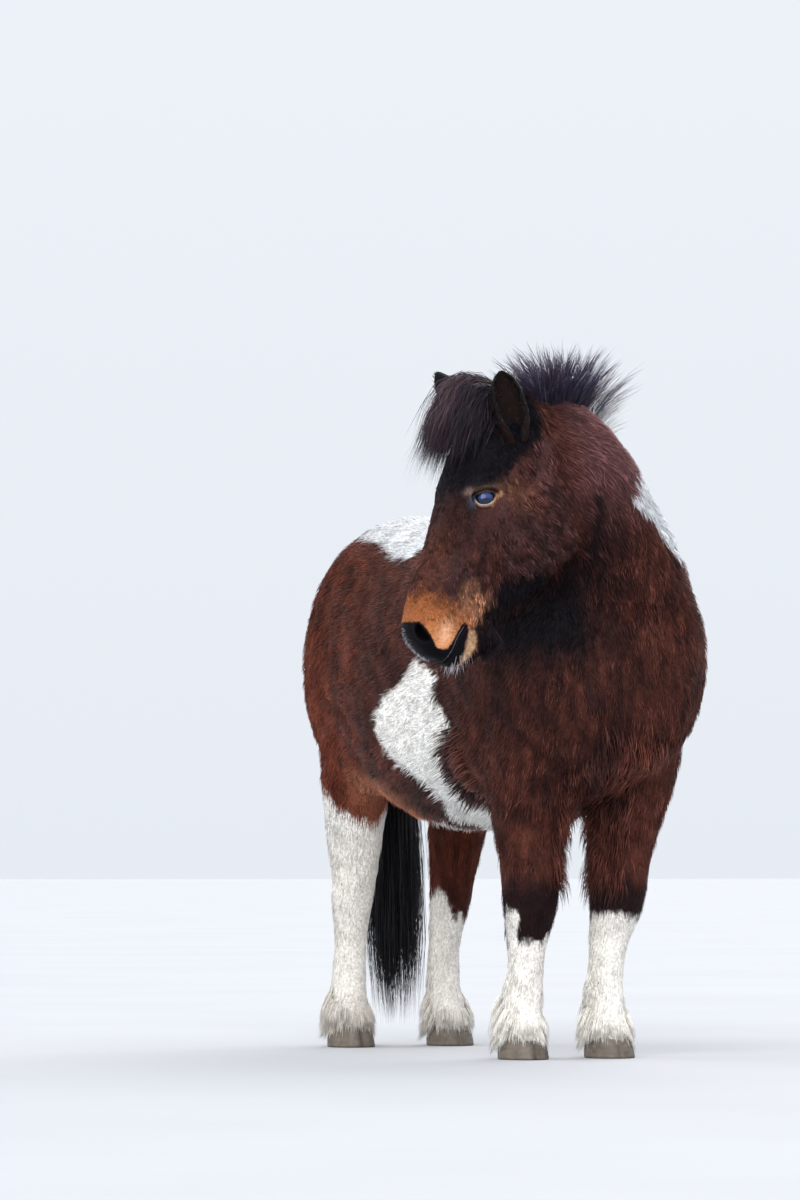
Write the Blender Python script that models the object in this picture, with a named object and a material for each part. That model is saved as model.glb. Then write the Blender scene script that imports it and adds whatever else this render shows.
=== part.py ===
"""A life-size pinto Icelandic horse in winter coat, standing square with its head turned to its right.

The horse faces -Y, +X is its left and +Z is up. Sizes are in metres, over the coat. The flesh is modelled
whole from lofted forms, fused and smoothed, and then cut thinly into the head, neck, torso and legs.
Mane, forelock, tail and feather are flat tapered locks fused into the node that they grow from.
"""

import math
import random

import bmesh
import bpy
import numpy as np
from mathutils import Matrix, Vector
from mathutils.bvhtree import BVHTree

# Driving sizes
WITHERS_HEIGHT = 1.385
WHEELBASE = 0.945  # fore hoof to hind hoof, along the body
GAP = 0.0003
NOSE_SLOPE = math.radians(21)  # the face's line from the vertical
POLL = Vector((-0.2835, -0.3315, 1.5665))
EYE_RADIUS = 0.029
EYE_PLACE = (0.274, 0.0435, 0.0745)  # along the face, forward and to the side
LID_THICKNESS = 0.0042
EAR_LENGTH = 0.158
HOOF_PITCH = math.radians(-14)  # the coronet's slope, high at the toe
HOOF_HEIGHT = 0.058  # the coronet's height over the hoof's middle

# How finely the flesh is fused, smoothed and thinned
BODY_VOXEL = 0.014
BODY_SMOOTHING = 26
VOXEL = 0.0065
JOINT_SMOOTHING = 34
FINE_SMOOTHING = 5
FLESH_TRIANGLES = 4200
FINE_HEAD = 0.58
FINE_LEGS = 0.60
RING_SIDES = 28
RINGS_PER_ROW = 3

SEED = 7
UP = Vector((0, 0, 1))
LEFT = Vector((1, 0, 0))
BACK = Vector((0, 1, 0))

# Each row of the trunk: how far back it is, the height of its top and bottom, and its half width.
TRUNK = (
    (-0.385, 1.02, 0.86, 0.090),
    (-0.350, 1.12, 0.775, 0.180),
    (-0.27, 1.20, 0.700, 0.248),
    (-0.16, 1.30, 0.650, 0.280),
    (0.00, 1.368, 0.608, 0.284),
    (0.10, WITHERS_HEIGHT + 0.006, 0.588, 0.284),
    (0.26, 1.368, 0.565, 0.304),
    (0.45, 1.345, 0.550, 0.320),
    (0.62, 1.358, 0.570, 0.312),
    (0.76, 1.386, 0.630, 0.298),
    (0.88, 1.388, 0.710, 0.280),
    (0.99, 1.340, 0.785, 0.248),
    (1.07, 1.260, 0.860, 0.188),
    (1.13, 1.140, 0.95, 0.10),
)
TRUNK_SQUARENESS = 2.25

# Each row of the neck: its centre, its crest's lean from the vertical, its half depth and its half width.
NECK = (
    (0.000, 0.080, 1.000, 62, 0.260, 0.225),
    (0.000, -0.060, 1.105, 58, 0.300, 0.250),
    (-0.006, -0.165, 1.220, 50, 0.275, 0.218),
    (-0.044, -0.245, 1.318, 38, 0.228, 0.153),
    (-0.112, -0.305, 1.390, 20, 0.196, 0.138),
    (-0.180, -0.335, 1.422, 8, 0.172, 0.122),
    (-0.240, -0.340, 1.430, 0, 0.150, 0.108),
    (-0.290, -0.335, 1.427, 0, 0.120, 0.090),
)
NECK_CREST_NARROWING = 0.30

# Each row of the head: its distance from the poll along the face, its front and back, and its half width.
HEAD = (
    (-0.022, 0.030, -0.045, 0.040),
    (0.004, 0.086, -0.120, 0.084),
    (0.060, 0.112, -0.175, 0.100),
    (0.150, 0.126, -0.212, 0.108),
    (0.240, 0.129, -0.238, 0.110),
    (0.310, 0.121, -0.243, 0.102),
    (0.380, 0.115, -0.205, 0.086),
    (0.450, 0.113, -0.158, 0.073),
    (0.520, 0.113, -0.126, 0.066),
    (0.580, 0.106, -0.112, 0.064),
    (0.618, 0.094, -0.098, 0.060),
    (0.644, 0.068, -0.076, 0.050),
    (0.662, 0.030, -0.046, 0.030),
)
HEAD_SQUARENESS = 2.4

# Each row of a leg: its height, its distances out from the midline and back, and its half sizes.
FORE_LEG = (
    (0.95, 0.142, -0.080, 0.110, 0.165),
    (0.80, 0.146, -0.088, 0.118, 0.145),
    (0.68, 0.142, -0.080, 0.114, 0.124),
    (0.60, 0.134, -0.064, 0.103, 0.108),
    (0.54, 0.129, -0.050, 0.092, 0.096),
    (0.475, 0.122, -0.044, 0.083, 0.086),
    (0.405, 0.119, -0.039, 0.077, 0.081),
    (0.345, 0.116, -0.028, 0.069, 0.072),
    (0.285, 0.112, -0.008, 0.056, 0.061),
    (0.22, 0.110, 0.006, 0.052, 0.060),
    (0.165, 0.111, 0.020, 0.056, 0.068),
    (0.115, 0.114, 0.016, 0.056, 0.066),
    (0.070, 0.117, 0.008, 0.058, 0.066),
    (0.035, 0.118, 0.002, 0.055, 0.062),
)
HIND_LEG = (
    (1.00, 0.140, -0.050, 0.125, 0.205),
    (0.87, 0.158, -0.080, 0.112, 0.165),
    (0.77, 0.164, -0.082, 0.102, 0.138),
    (0.67, 0.158, -0.050, 0.092, 0.118),
    (0.58, 0.150, -0.022, 0.082, 0.112),
    (0.51, 0.146, -0.010, 0.071, 0.104),
    (0.44, 0.143, 0.000, 0.061, 0.088),
    (0.38, 0.142, 0.012, 0.058, 0.076),
    (0.32, 0.139, 0.026, 0.052, 0.064),
    (0.26, 0.136, 0.036, 0.048, 0.057),
    (0.175, 0.136, 0.046, 0.051, 0.062),
    (0.120, 0.139, 0.036, 0.054, 0.063),
    (0.070, 0.142, 0.022, 0.057, 0.066),
    (0.035, 0.143, 0.016, 0.055, 0.062),
)
FORE_KNEE_CUT = 0.355
HOCK_CUT = 0.43

# Each muscle: its centre on the left side, its half sizes and its tilt about X in degrees.
MUSCLES = (
    ((0.152, -0.085, 1.075), (0.146, 0.182, 0.305), -22),  # shoulder blade
    ((0.140, -0.215, 0.960), (0.126, 0.140, 0.230), 6),  # point of the shoulder
    ((0.085, -0.290, 0.870), (0.110, 0.105, 0.180), 8),  # breast
    ((0.170, 0.030, 0.820), (0.110, 0.160, 0.200), -15),  # upper arm's back
    ((0.142, 0.880, 1.010), (0.150, 0.228, 0.330), 12),  # thigh
    ((0.165, 0.770, 0.800), (0.105, 0.135, 0.160), 0),  # stifle
    ((0.095, 1.005, 0.950), (0.125, 0.125, 0.280), 4),  # buttock
)
HOCK_POINT = ((0.145, 1.022, 0.530), (0.034, 0.038, 0.062), -12)

# The eye's lids: the way that they face, the slant of their corners, and the size of their opening.
LID_FACING = (0.0, 0.26, 0.965)
LID_SLANT = (0.504, 0.864, 0.0)
LID_HALF_LENGTH = 0.0270
LID_HALF_HEIGHT = 0.0158
LID_POINTS = 7
EYE_SIDES = 18

NOSTRIL_PLACE = (0.628, 0.070, 0.062)
NOSTRIL_SLANT = (0.51, -0.86, 0.0)
NOSTRIL_HALVES = (0.029, 0.0125, 0.026)
MOUTH_LINE = ((0.72, -0.016), (0.660, -0.020), (0.600, -0.028), (0.558, -0.036))
MOUTH_GAP = 0.0035

# Each ear: its base and tip in the head's axes, and the way that its cup faces.
EARS = {
    1: ((0.116, 0.018, 0.094), (-0.016, 0.128, 0.114), (0.0, 0.40, 0.92)),
    -1: ((0.085, 0.050, -0.066), (-0.008, 0.190, -0.108), (0.1, 0.55, -0.80)),
}
EAR_PROFILE = ((0.0, 0.66), (0.18, 0.88), (0.36, 1.0), (0.55, 1.0), (0.74, 0.88), (0.90, 0.60), (1.0, 0.20))
EAR_HALF_WIDTH = 0.042
EAR_DEPTH = 0.027
EAR_CURL = 0.006

# Each row of the tail: its centre, its half width and its half depth.
TAIL = (
    (0.000, 1.020, 1.255, 0.030, 0.028),
    (0.000, 1.095, 1.240, 0.036, 0.032),
    (0.008, 1.160, 1.150, 0.046, 0.036),
    (0.028, 1.178, 1.000, 0.056, 0.042),
    (0.050, 1.168, 0.820, 0.066, 0.046),
    (0.068, 1.152, 0.600, 0.076, 0.050),
    (0.070, 1.142, 0.380, 0.084, 0.054),
    (0.067, 1.136, 0.200, 0.082, 0.052),
    (0.067, 1.132, 0.065, 0.060, 0.036),
)

# Mane, forelock, tail, feather and fringes: how many locks, and their sizes
MANE_START = 5  # of the neck's smooth rows, at the withers
MANE_END = 20
MANE_COUNT = 16
MANE_LENGTHS = (0.105, 0.120, 0.170)  # to the left, upright and to the right
MANE_SUNK = 0.030
MANE_WIDTH = 0.042
FORELOCK_COUNT = 9
FORELOCK_WIDTH = 0.034
TAIL_CORE_ROWS = 13
TAIL_RINGS = ((8, 1.0, 0.048), (5, 0.62, 0.046), (1, 0.20, 0.040))
TAIL_TOP_COUNT = 7
FEATHER_COUNT = 10
FEATHER_SHIFT = 0.016
CHEST_COUNT = 6
CHEST_FIRST = -0.20
CHEST_LAST = 0.10
BEARD_COUNT = 6
BEARD_FIRST = 0.33
BEARD_LAST = 0.50

# Colour and roughness by the start of a node's name.
BROWN = ((0.075, 0.026, 0.016), 0.75)
WHITE = ((0.62, 0.58, 0.50), 0.75)
BLACK = ((0.012, 0.010, 0.012), 0.6)
LOOKS = {
    "fore_hoof": ((0.16, 0.13, 0.10), 0.45),
    "hind_hoof": ((0.16, 0.13, 0.10), 0.45),
    "fore_cannon": WHITE,
    "hind_cannon": WHITE,
    "hind_leg_r": WHITE,
    "hind_leg_l": BROWN,
    "fore_leg": BROWN,
    "eye": ((0.01, 0.008, 0.012), 0.08),
    "ear": BLACK,
    "tail": BLACK,
    "head": BROWN,
    "neck": BROWN,
    "torso": BROWN,
}

# Where each hoof stands: out from the midline, and back.
FORE_FOOT = (0.1180, 0.006)
HIND_FOOT = (0.1430, WHEELBASE + 0.018)

# Each ring of a hoof: its height, its half width, its reach to the toe, and how far back its middle is.
HOOF_RINGS = ((0.0, 0.062, 0.069, -0.004), (0.006, 0.063, 0.070, -0.003), (0.09, 0.052, 0.057, 0.012))
HEEL_SHARE = 0.86
HOOF_SIDES = 16

# The head's region as a polygon of distances along and forward of the face, which parts it from the neck.
HEAD_REGION = (
    (-0.060, 0.070),
    (0.000, 0.000),
    (0.330, -0.262),
    (0.400, -0.235),
    (0.470, -0.182),
    (0.750, -0.180),
    (0.750, 0.260),
    (-0.060, 0.260),
)
HEAD_REGION_SIDES = (-0.150, 0.20)
NECK_BEND_ROW = 11  # of the neck's smooth rows, where the neck is parted in two
NECK_CUT_REAR = Vector((0, 0.115, 1.42))
NECK_CUT_FRONT = Vector((0, -0.42, 0.985))
FORE_CUT_FRONT = Vector((0, -0.30, 0.585))
FORE_CUT_REAR = Vector((0, 0.10, 0.585))
HIND_CUT_FRONT = Vector((0, 0.68, 0.592))
HIND_CUT_REAR = Vector((0, 1.14, 0.800))


def spline_rows(rows, per_row):
    """The rows with smooth ones put between them, each column on a Catmull-Rom curve."""
    table = np.array(rows, float)
    padded = np.vstack([2 * table[0] - table[1], table, 2 * table[-1] - table[-2]])
    found = []
    for i in range(len(table) - 1):
        a, b, c, d = padded[i : i + 4]
        for k in range(per_row):
            t = k / per_row
            bend = (2 * a - 5 * b + 4 * c - d) * t**2 + (3 * b - a - 3 * c + d) * t**3
            found.append(0.5 * (2 * b + (c - a) * t + bend))
    found.append(table[-1])
    return np.array(found)


def oval(centre, across, up, half, top, bottom, squareness=2.0, narrow_top=0.0, narrow_base=0.0,
         sides=RING_SIDES):
    """A ring that reaches top above centre and bottom below it, and may be narrower at either end."""
    ring = []
    for k in range(sides):
        angle = 2 * math.pi * k / sides
        s, c = math.sin(angle), math.cos(angle)
        side = math.copysign(abs(s) ** (2 / squareness), s)
        rise = math.copysign(abs(c) ** (2 / squareness), c)
        reach = top if c > 0 else bottom
        thin = 1 - narrow_top * max(0.0, rise) - narrow_base * max(0.0, -rise)
        ring.append(centre + across * (half * side * thin) + up * (reach * rise))
    return ring


def loft(mesh, rings):
    """Adds a closed skin over the rings to mesh, with a fan over each end."""
    rows = [[mesh.verts.new(p) for p in ring] for ring in rings]
    sides = len(rings[0])
    faces = []
    for low, high in zip(rows, rows[1:]):
        for k in range(sides):
            n = (k + 1) % sides
            faces.append(mesh.faces.new((low[k], low[n], high[n], high[k])))
    for row in (rows[0], rows[-1]):
        middle = mesh.verts.new(sum((v.co for v in row), Vector()) / sides)
        faces += [mesh.faces.new((row[k], row[(k + 1) % sides], middle)) for k in range(sides)]
    bmesh.ops.recalc_face_normals(mesh, faces=faces)


def ellipsoid(mesh, centre, halves, turn=Matrix.Identity(3), detail=3):
    """Adds a closed ellipsoid to mesh."""
    matrix = Matrix.Translation(centre) @ turn.to_4x4() @ Matrix.Diagonal(Vector(halves)).to_4x4()
    bmesh.ops.create_icosphere(mesh, subdivisions=detail, radius=1.0, matrix=matrix)


def head_point(along, forward, left=0.0):
    """A point of the head, from its distances along the face from the poll, forward and to the left."""
    down = Vector((-math.sin(NOSE_SLOPE), 0, -math.cos(NOSE_SLOPE)))
    front = Vector((-math.cos(NOSE_SLOPE), 0, math.sin(NOSE_SLOPE)))
    return POLL + down * along + front * forward + Vector((0, -1, 0)) * left


def head_turn():
    """The head's own axes as the columns of a matrix: along the face, forward, and left."""
    origin = head_point(0, 0)
    axes = [head_point(1, 0) - origin, head_point(0, 1) - origin, head_point(0, 0, 1) - origin]
    return Matrix(axes).transposed()


def add_trunk(mesh):
    rings = []
    for back, top, bottom, half in spline_rows(TRUNK, RINGS_PER_ROW):
        middle = bottom + 0.46 * (top - bottom)
        centre = Vector((0, back, middle))
        rings.append(oval(centre, LEFT, UP, half, top - middle, middle - bottom, TRUNK_SQUARENESS))
    loft(mesh, rings)


def neck_rows():
    """Each smooth row of the neck: its centre, the ways across it and to its crest, and its half sizes."""
    rows = spline_rows(NECK, RINGS_PER_ROW)
    centres = [Vector(row[:3]) for row in rows]
    found = []
    for i, row in enumerate(rows):
        forward = centres[min(i + 1, len(rows) - 1)] - centres[max(i - 1, 0)]
        lean = math.radians(row[3])
        hint = Vector((0, math.sin(lean), math.cos(lean)))
        crest = (hint - forward * (hint.dot(forward) / forward.length_squared)).normalized()
        across = forward.cross(crest).normalized()
        found.append((centres[i], across, crest, row[4], row[5]))
    return found


def add_neck(mesh):
    rings = [
        oval(centre, across, crest, half, deep, deep, narrow_top=NECK_CREST_NARROWING)
        for centre, across, crest, deep, half in neck_rows()
    ]
    loft(mesh, rings)


def add_head(mesh):
    turn = head_turn()
    across, up = turn.col[2], turn.col[1]
    rings = []
    for along, front, back, half in spline_rows(HEAD, RINGS_PER_ROW):
        middle = back + 0.62 * (front - back)
        centre = head_point(along, middle)
        rings.append(oval(centre, across, up, half, front - middle, middle - back, HEAD_SQUARENESS,
                          narrow_base=0.25))
    loft(mesh, rings)
    for side in (-1, 1):
        ellipsoid(mesh, head_point(0.255, 0.064, side * 0.080), (0.060, 0.042, 0.030), turn)  # brow
        ellipsoid(mesh, head_point(0.245, -0.115, side * 0.072), (0.130, 0.120, 0.046), turn)  # cheek
        ellipsoid(mesh, head_point(0.380, 0.030, side * 0.060), (0.110, 0.022, 0.020), turn)  # face ridge
        ellipsoid(mesh, head_point(0.604, 0.052, side * 0.042), (0.034, 0.030, 0.026), turn)  # nostril
        ellipsoid(mesh, head_point(0.622, 0.000, side * 0.028), (0.040, 0.034, 0.032), turn)  # upper lip
    ellipsoid(mesh, head_point(0.598, -0.074), (0.046, 0.036, 0.042), turn)  # lower lip
    ellipsoid(mesh, head_point(0.555, -0.112), (0.046, 0.038, 0.036), turn)  # chin


def add_leg(mesh, rows, side, foot_back):
    rings = [
        oval(Vector((side * out, foot_back + back, height)), LEFT, BACK, half, deep, deep)
        for height, out, back, half, deep in spline_rows(rows, RINGS_PER_ROW)
    ]
    loft(mesh, rings)


def add_muscles(mesh, side):
    for (out, back, height), halves, tilt in MUSCLES:
        turn = Matrix.Rotation(math.radians(tilt), 3, "X")
        ellipsoid(mesh, Vector((side * out, back, height)), halves, turn)


def object_of(name, mesh):
    """A new object with this bmesh, which is freed."""
    data = bpy.data.meshes.new(name)
    mesh.to_mesh(data)
    mesh.free()
    made = bpy.data.objects.new(name, data)
    bpy.context.collection.objects.link(made)
    return made


def apply_modifiers(obj):
    """Puts the object's evaluated mesh in place of its own."""
    graph = bpy.context.evaluated_depsgraph_get()
    data = bpy.data.meshes.new_from_object(obj.evaluated_get(graph))
    obj.modifiers.clear()
    obj.data = data
    return obj


def voxel_fuse(obj, size):
    fuse = obj.modifiers.new("fuse", "REMESH")
    fuse.mode = "VOXEL"
    fuse.voxel_size = size
    return apply_modifiers(obj)


def smooth(obj, steps, weight=None):
    """Smooths the object's surface, by weight(point) from 0 to 1 where that is given."""
    soften = obj.modifiers.new("soften", "SMOOTH")
    soften.factor = 0.5
    soften.iterations = steps
    if weight:
        group = obj.vertex_groups.new(name="soft")
        for vertex in obj.data.vertices:
            group.add([vertex.index], weight(vertex.co), "REPLACE")
        soften.vertex_group = "soft"
    apply_modifiers(obj)
    obj.vertex_groups.clear()
    return obj


def ramp(value, low, high):
    t = min(1.0, max(0.0, (value - low) / (high - low)))
    return t * t * (3 - 2 * t)


def fleshy(point):
    """How softly the flesh's joins are blended: fully on the body, not at all on the head and lower legs."""
    along = (point - POLL).dot(head_point(1, 0) - POLL)
    forward = (point - POLL).dot(head_point(0, 1) - POLL)
    face = ramp(forward + 0.35 * along, -0.22, -0.02) * ramp(-point.x, 0.14, 0.22)
    return ramp(point.z, 0.42, 0.62) * (1 - face)


def fused_flesh():
    """The whole body without ears, eyes, hooves and locks, as one smooth closed mesh."""
    mesh = bmesh.new()
    add_trunk(mesh)
    add_neck(mesh)
    for side in (-1, 1):
        add_muscles(mesh, side)
    body = smooth(voxel_fuse(object_of("body", mesh), BODY_VOXEL), BODY_SMOOTHING)
    mesh = bmesh.new()
    mesh.from_mesh(body.data)
    bpy.data.objects.remove(body)
    add_head(mesh)
    for side in (-1, 1):
        add_leg(mesh, FORE_LEG, side, 0.0)
        add_leg(mesh, HIND_LEG, side, WHEELBASE)
        (out, back, height), halves, tilt = HOCK_POINT
        turn = Matrix.Rotation(math.radians(tilt), 3, "X")
        ellipsoid(mesh, Vector((side * out, back, height)), halves, turn)
    flesh = voxel_fuse(object_of("flesh", mesh), VOXEL)
    smooth(flesh, JOINT_SMOOTHING, fleshy)
    return smooth(flesh, FINE_SMOOTHING)


def keep_largest(obj):
    """Deletes all but the object's largest closed surface, and merges points that lie on one another."""
    mesh = bmesh.new()
    mesh.from_mesh(obj.data)
    bmesh.ops.remove_doubles(mesh, verts=mesh.verts, dist=1e-6)
    bmesh.ops.triangulate(mesh, faces=mesh.faces)
    left = set(mesh.faces)
    shells = []
    while left:
        shell, edge_of_shell = set(), [left.pop()]
        while edge_of_shell:
            face = edge_of_shell.pop()
            shell.add(face)
            for edge in face.edges:
                for other in edge.link_faces:
                    if other in left:
                        left.remove(other)
                        edge_of_shell.append(other)
        shells.append(shell)
    shells.sort(key=volume_of)
    scraps = [face for shell in shells[:-1] for face in shell]
    bmesh.ops.delete(mesh, geom=scraps, context="FACES")
    bmesh.ops.delete(mesh, geom=[v for v in mesh.verts if not v.link_faces], context="VERTS")
    mesh.to_mesh(obj.data)
    mesh.free()
    return obj


def volume_of(faces):
    return sum(f.verts[0].co.dot(f.verts[1].co.cross(f.verts[2].co)) for f in faces) / 6


def boolean(obj, operation, other, solver="EXACT"):
    """Applies one Boolean of the object with another object, or with all objects of a collection."""
    step = obj.modifiers.new("step", "BOOLEAN")
    step.operation = operation
    step.solver = solver
    if isinstance(other, bpy.types.Collection):
        step.operand_type = "COLLECTION"
        step.collection = other
    else:
        step.object = other
    return apply_modifiers(obj)


def copy_of(obj, name):
    made = bpy.data.objects.new(name, obj.data.copy())
    bpy.context.collection.objects.link(made)
    return made


def grown(obj, distance):
    """A copy of the object with each point moved out along its normal."""
    made = copy_of(obj, "grown")
    mesh = made.data
    normals = np.empty(3 * len(mesh.vertices))
    mesh.vertex_normals.foreach_get("vector", normals)
    places = np.empty(3 * len(mesh.vertices))
    mesh.vertices.foreach_get("co", places)
    mesh.vertices.foreach_set("co", places + distance * normals)
    mesh.update()
    return made


def part_by(obj, region, name):
    """Cuts the part of the object inside region(size) off it as a new object, with the gap between them.

    region makes a closed cutter, grown by the size that it is given.
    """
    piece = copy_of(obj, name)
    inner = region(-GAP / 2)
    boolean(piece, "INTERSECT", inner)
    bpy.data.objects.remove(inner)
    outer = region(GAP / 2)
    boolean(obj, "DIFFERENCE", outer)
    bpy.data.objects.remove(outer)
    keep_largest(obj)
    return keep_largest(piece)


def clear_of(obj, *others):
    """Cuts the object so that it keeps the gap to the others."""
    for other in others:
        cutter = grown(other, GAP)
        boolean(obj, "DIFFERENCE", cutter, "MANIFOLD")
        bpy.data.objects.remove(cutter)
    return keep_largest(obj)


def prism(name, outline, direction):
    """A closed prism with this outline, a list of points in order, swept along direction."""
    mesh = bmesh.new()
    base = mesh.faces.new([mesh.verts.new(p) for p in outline])
    swept = bmesh.ops.extrude_face_region(mesh, geom=[base])
    moved = [v for v in swept["geom"] if isinstance(v, bmesh.types.BMVert)]
    bmesh.ops.translate(mesh, verts=moved, vec=direction)
    bmesh.ops.recalc_face_normals(mesh, faces=mesh.faces)
    return object_of(name, mesh)


def grown_outline(points, size):
    """The outline, which runs round its middle, with each side moved out by size."""
    count = len(points)
    turn = sum(points[i].cross(points[(i + 1) % count]) for i in range(count))
    sign = 1 if turn > 0 else -1
    found = []
    for i, point in enumerate(points):
        before = (point - points[i - 1]).normalized()
        after = (points[(i + 1) % count] - point).normalized()
        normal_before = Vector((before.y, -before.x)) * sign
        normal_after = Vector((after.y, -after.x)) * sign
        middle = (normal_before + normal_after).normalized()
        found.append(point + middle * (size / middle.dot(normal_before)))
    return found


def head_region(size):
    outline = grown_outline([Vector(p) for p in HEAD_REGION], size)
    right, left = HEAD_REGION_SIDES[0] - size, HEAD_REGION_SIDES[1] + size
    corners = [head_point(p.x, p.y, right) for p in outline]
    return prism("region", corners, head_way(0, 0, left - right))


def side_region(outline, low, high):
    """A region function: an outline of (back, height) points, from x = low to x = high."""

    def region(size):
        grown_points = grown_outline([Vector(p) for p in outline], size)
        corners = [Vector((low - size, p.x, p.y)) for p in grown_points]
        return prism("region", corners, Vector((high - low + 2 * size, 0, 0)))

    return region


def neck_region():
    rear, front = NECK_CUT_REAR, NECK_CUT_FRONT
    slope = (front - rear).normalized()
    high = Vector((0, -slope.z, slope.y)) * -0.9
    corners = [rear - slope * 0.5, front + slope * 0.25]
    corners += [corners[1] + high, corners[0] + high]
    return side_region([(p.y, p.z) for p in corners], -0.9, 0.5)


def neck_bend_region(size):
    """The part of the neck beyond its bend, towards the head."""
    rows = neck_rows()
    middle, across, crest = rows[NECK_BEND_ROW][:3]
    way = (rows[NECK_BEND_ROW + 1][0] - rows[NECK_BEND_ROW - 1][0]).normalized()
    half = 0.5 + size
    signs = ((1, 1), (-1, 1), (-1, -1), (1, -1))
    corners = [middle - way * size + (across * x + crest * y) * half for x, y in signs]
    return prism("region", corners, way * (0.8 + 2 * size))


def leg_region(side, front, rear):
    """The leg's region: below a line from front to rear, on one side of the midline."""
    outline = [(front.y, front.z), (rear.y, rear.z), (rear.y, -0.2), (front.y, -0.2)]
    low, high = (GAP, 0.45) if side > 0 else (-0.45, -GAP)
    return side_region(outline, low, high)


def coronet_region(back):
    """The region under the coronet of a hoof whose middle is back from the fore hooves."""
    slope = Vector((math.cos(HOOF_PITCH), math.sin(HOOF_PITCH)))
    middle = Vector((back, HOOF_HEIGHT))
    front, rear = middle - slope * 0.2, middle + slope * 0.2
    return side_region([tuple(front), tuple(rear), (rear.x, -0.3), (front.x, -0.3)], -0.4, 0.4)


def hoof(name, side, out, back):
    """One hoof: a slanting wall from a flat sole up to the coronet, where it is cut to the leg's slope."""
    mesh = bmesh.new()
    rings = []
    for height, half, deep, shift in HOOF_RINGS:
        centre = Vector((side * out, back + shift, height))
        rings.append(oval(centre, LEFT, BACK, half, deep * HEEL_SHARE, deep, sides=HOOF_SIDES))
    loft(mesh, rings)
    made = object_of("wall", mesh)
    part_by(made, coronet_region(back), name)
    bpy.data.objects.remove(made)


def facing_turn(facing, along):
    """A turn whose Z axis is facing and whose X axis is as near along as it can be."""
    z = facing.normalized()
    x = (along - z * along.dot(z)).normalized()
    return Matrix((x, z.cross(x), z)).transposed()


def head_way(along, forward, left):
    """A direction given in the head's own axes."""
    return head_turn() @ Vector((along, forward, left))


def ball(name, centre, halves, turn=Matrix.Identity(3), sides=20):
    """A closed ellipsoid object with sides flats round it."""
    mesh = bmesh.new()
    matrix = Matrix.Translation(centre) @ turn.to_4x4() @ Matrix.Diagonal(Vector(halves)).to_4x4()
    bmesh.ops.create_uvsphere(mesh, u_segments=sides, v_segments=sides // 2, radius=1.0, matrix=matrix)
    return object_of(name, mesh)


def join_in(obj, pieces, solver="EXACT"):
    """Fuses closed mesh objects into obj by one union, and removes them."""
    group = bpy.data.collections.new("pieces")
    for piece in pieces:
        group.objects.link(piece)
    boolean(obj, "UNION", group, solver)
    for piece in pieces:
        bpy.data.objects.remove(piece)
    bpy.data.collections.remove(group)
    return keep_largest(obj)


def cut_out(obj, cutter):
    boolean(obj, "DIFFERENCE", cutter)
    bpy.data.objects.remove(cutter)


def eye_place(side):
    along, forward, left = EYE_PLACE
    return head_point(along, forward, side * left)


def lid_opening(side):
    """An almond prism from the middle of the eye out through the lids."""
    turn = facing_turn(head_way(*LID_FACING[:2], side * LID_FACING[2]), head_way(*LID_SLANT))
    outline = []
    for half in (1, -1):
        for k in range(LID_POINTS):
            t = -1 + 2 * k / LID_POINTS
            outline.append(Vector((half * t * LID_HALF_LENGTH, half * LID_HALF_HEIGHT * (1 - t * t), 0)))
    corners = [eye_place(side) + turn @ p for p in outline]
    return prism("opening", corners, turn.col[2] * 0.08)


def add_eye_and_lids(head, side, letter):
    """Fuses the lids into the head, opens them and leaves the eye in its socket."""
    place = eye_place(side)
    facing = facing_turn(head_way(*LID_FACING[:2], side * LID_FACING[2]), head_way(*LID_SLANT))
    lid = EYE_RADIUS + LID_THICKNESS
    join_in(head, [ball("lids", place, (lid * 1.05, lid, lid), facing, 16)])
    cut_out(head, lid_opening(side))
    socket = EYE_RADIUS + GAP
    cut_out(head, ball("socket", place, (socket, socket, socket), facing, EYE_SIDES))
    keep_largest(head)
    return ball("eye_" + letter, place, (EYE_RADIUS, EYE_RADIUS, EYE_RADIUS), facing, EYE_SIDES)


def cut_nostril(head, side):
    along, forward, left = NOSTRIL_PLACE
    turn = facing_turn(head_way(0.25, 0.25, side), head_way(*NOSTRIL_SLANT))
    cut_out(head, ball("nostril", head_point(along, forward, side * left), NOSTRIL_HALVES, turn, 14))


def cut_mouth(head):
    """The line between the lips, from the front of the mouth to its corners."""
    upper = [(along, forward + MOUTH_GAP / 2) for along, forward in MOUTH_LINE]
    lower = [(along, forward - MOUTH_GAP / 2) for along, forward in reversed(MOUTH_LINE)]
    corners = [head_point(along, forward, -0.1) for along, forward in upper + lower]
    cut_out(head, prism("mouth", corners, head_way(0, 0, 0.2)))


def ear_leaf(name, base, tip, facing, scale, shift, first, last):
    """A leaf-shaped closed form from base to tip, scaled across and moved towards facing."""
    mesh = bmesh.new()
    rise = tip - base
    across = rise.cross(facing).normalized()
    out = across.cross(rise).normalized()
    rings = []
    for s, half in spline_rows(EAR_PROFILE, 1):
        if first <= s <= last:
            centre = base + rise * s + out * (shift + EAR_CURL * math.sin(math.pi * s))
            rings.append(oval(centre, across, out, EAR_HALF_WIDTH * half * scale, EAR_DEPTH * half * scale,
                              EAR_DEPTH * half * scale, sides=12))
    loft(mesh, rings)
    return object_of(name, mesh)


def ear(side, letter, head):
    base_place, tip_place, facing_way = EARS[side]
    base, tip, facing = head_point(*base_place), head_point(*tip_place), head_way(*facing_way)
    made = ear_leaf("ear_" + letter, base, tip, facing, 1.0, 0.0, 0.0, 1.0)
    cut_out(made, ear_leaf("cup", base, tip, facing, 0.86, EAR_DEPTH * 0.50, 0.14, 0.93))
    keep_largest(made)
    return clear_of(made, head)


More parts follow.
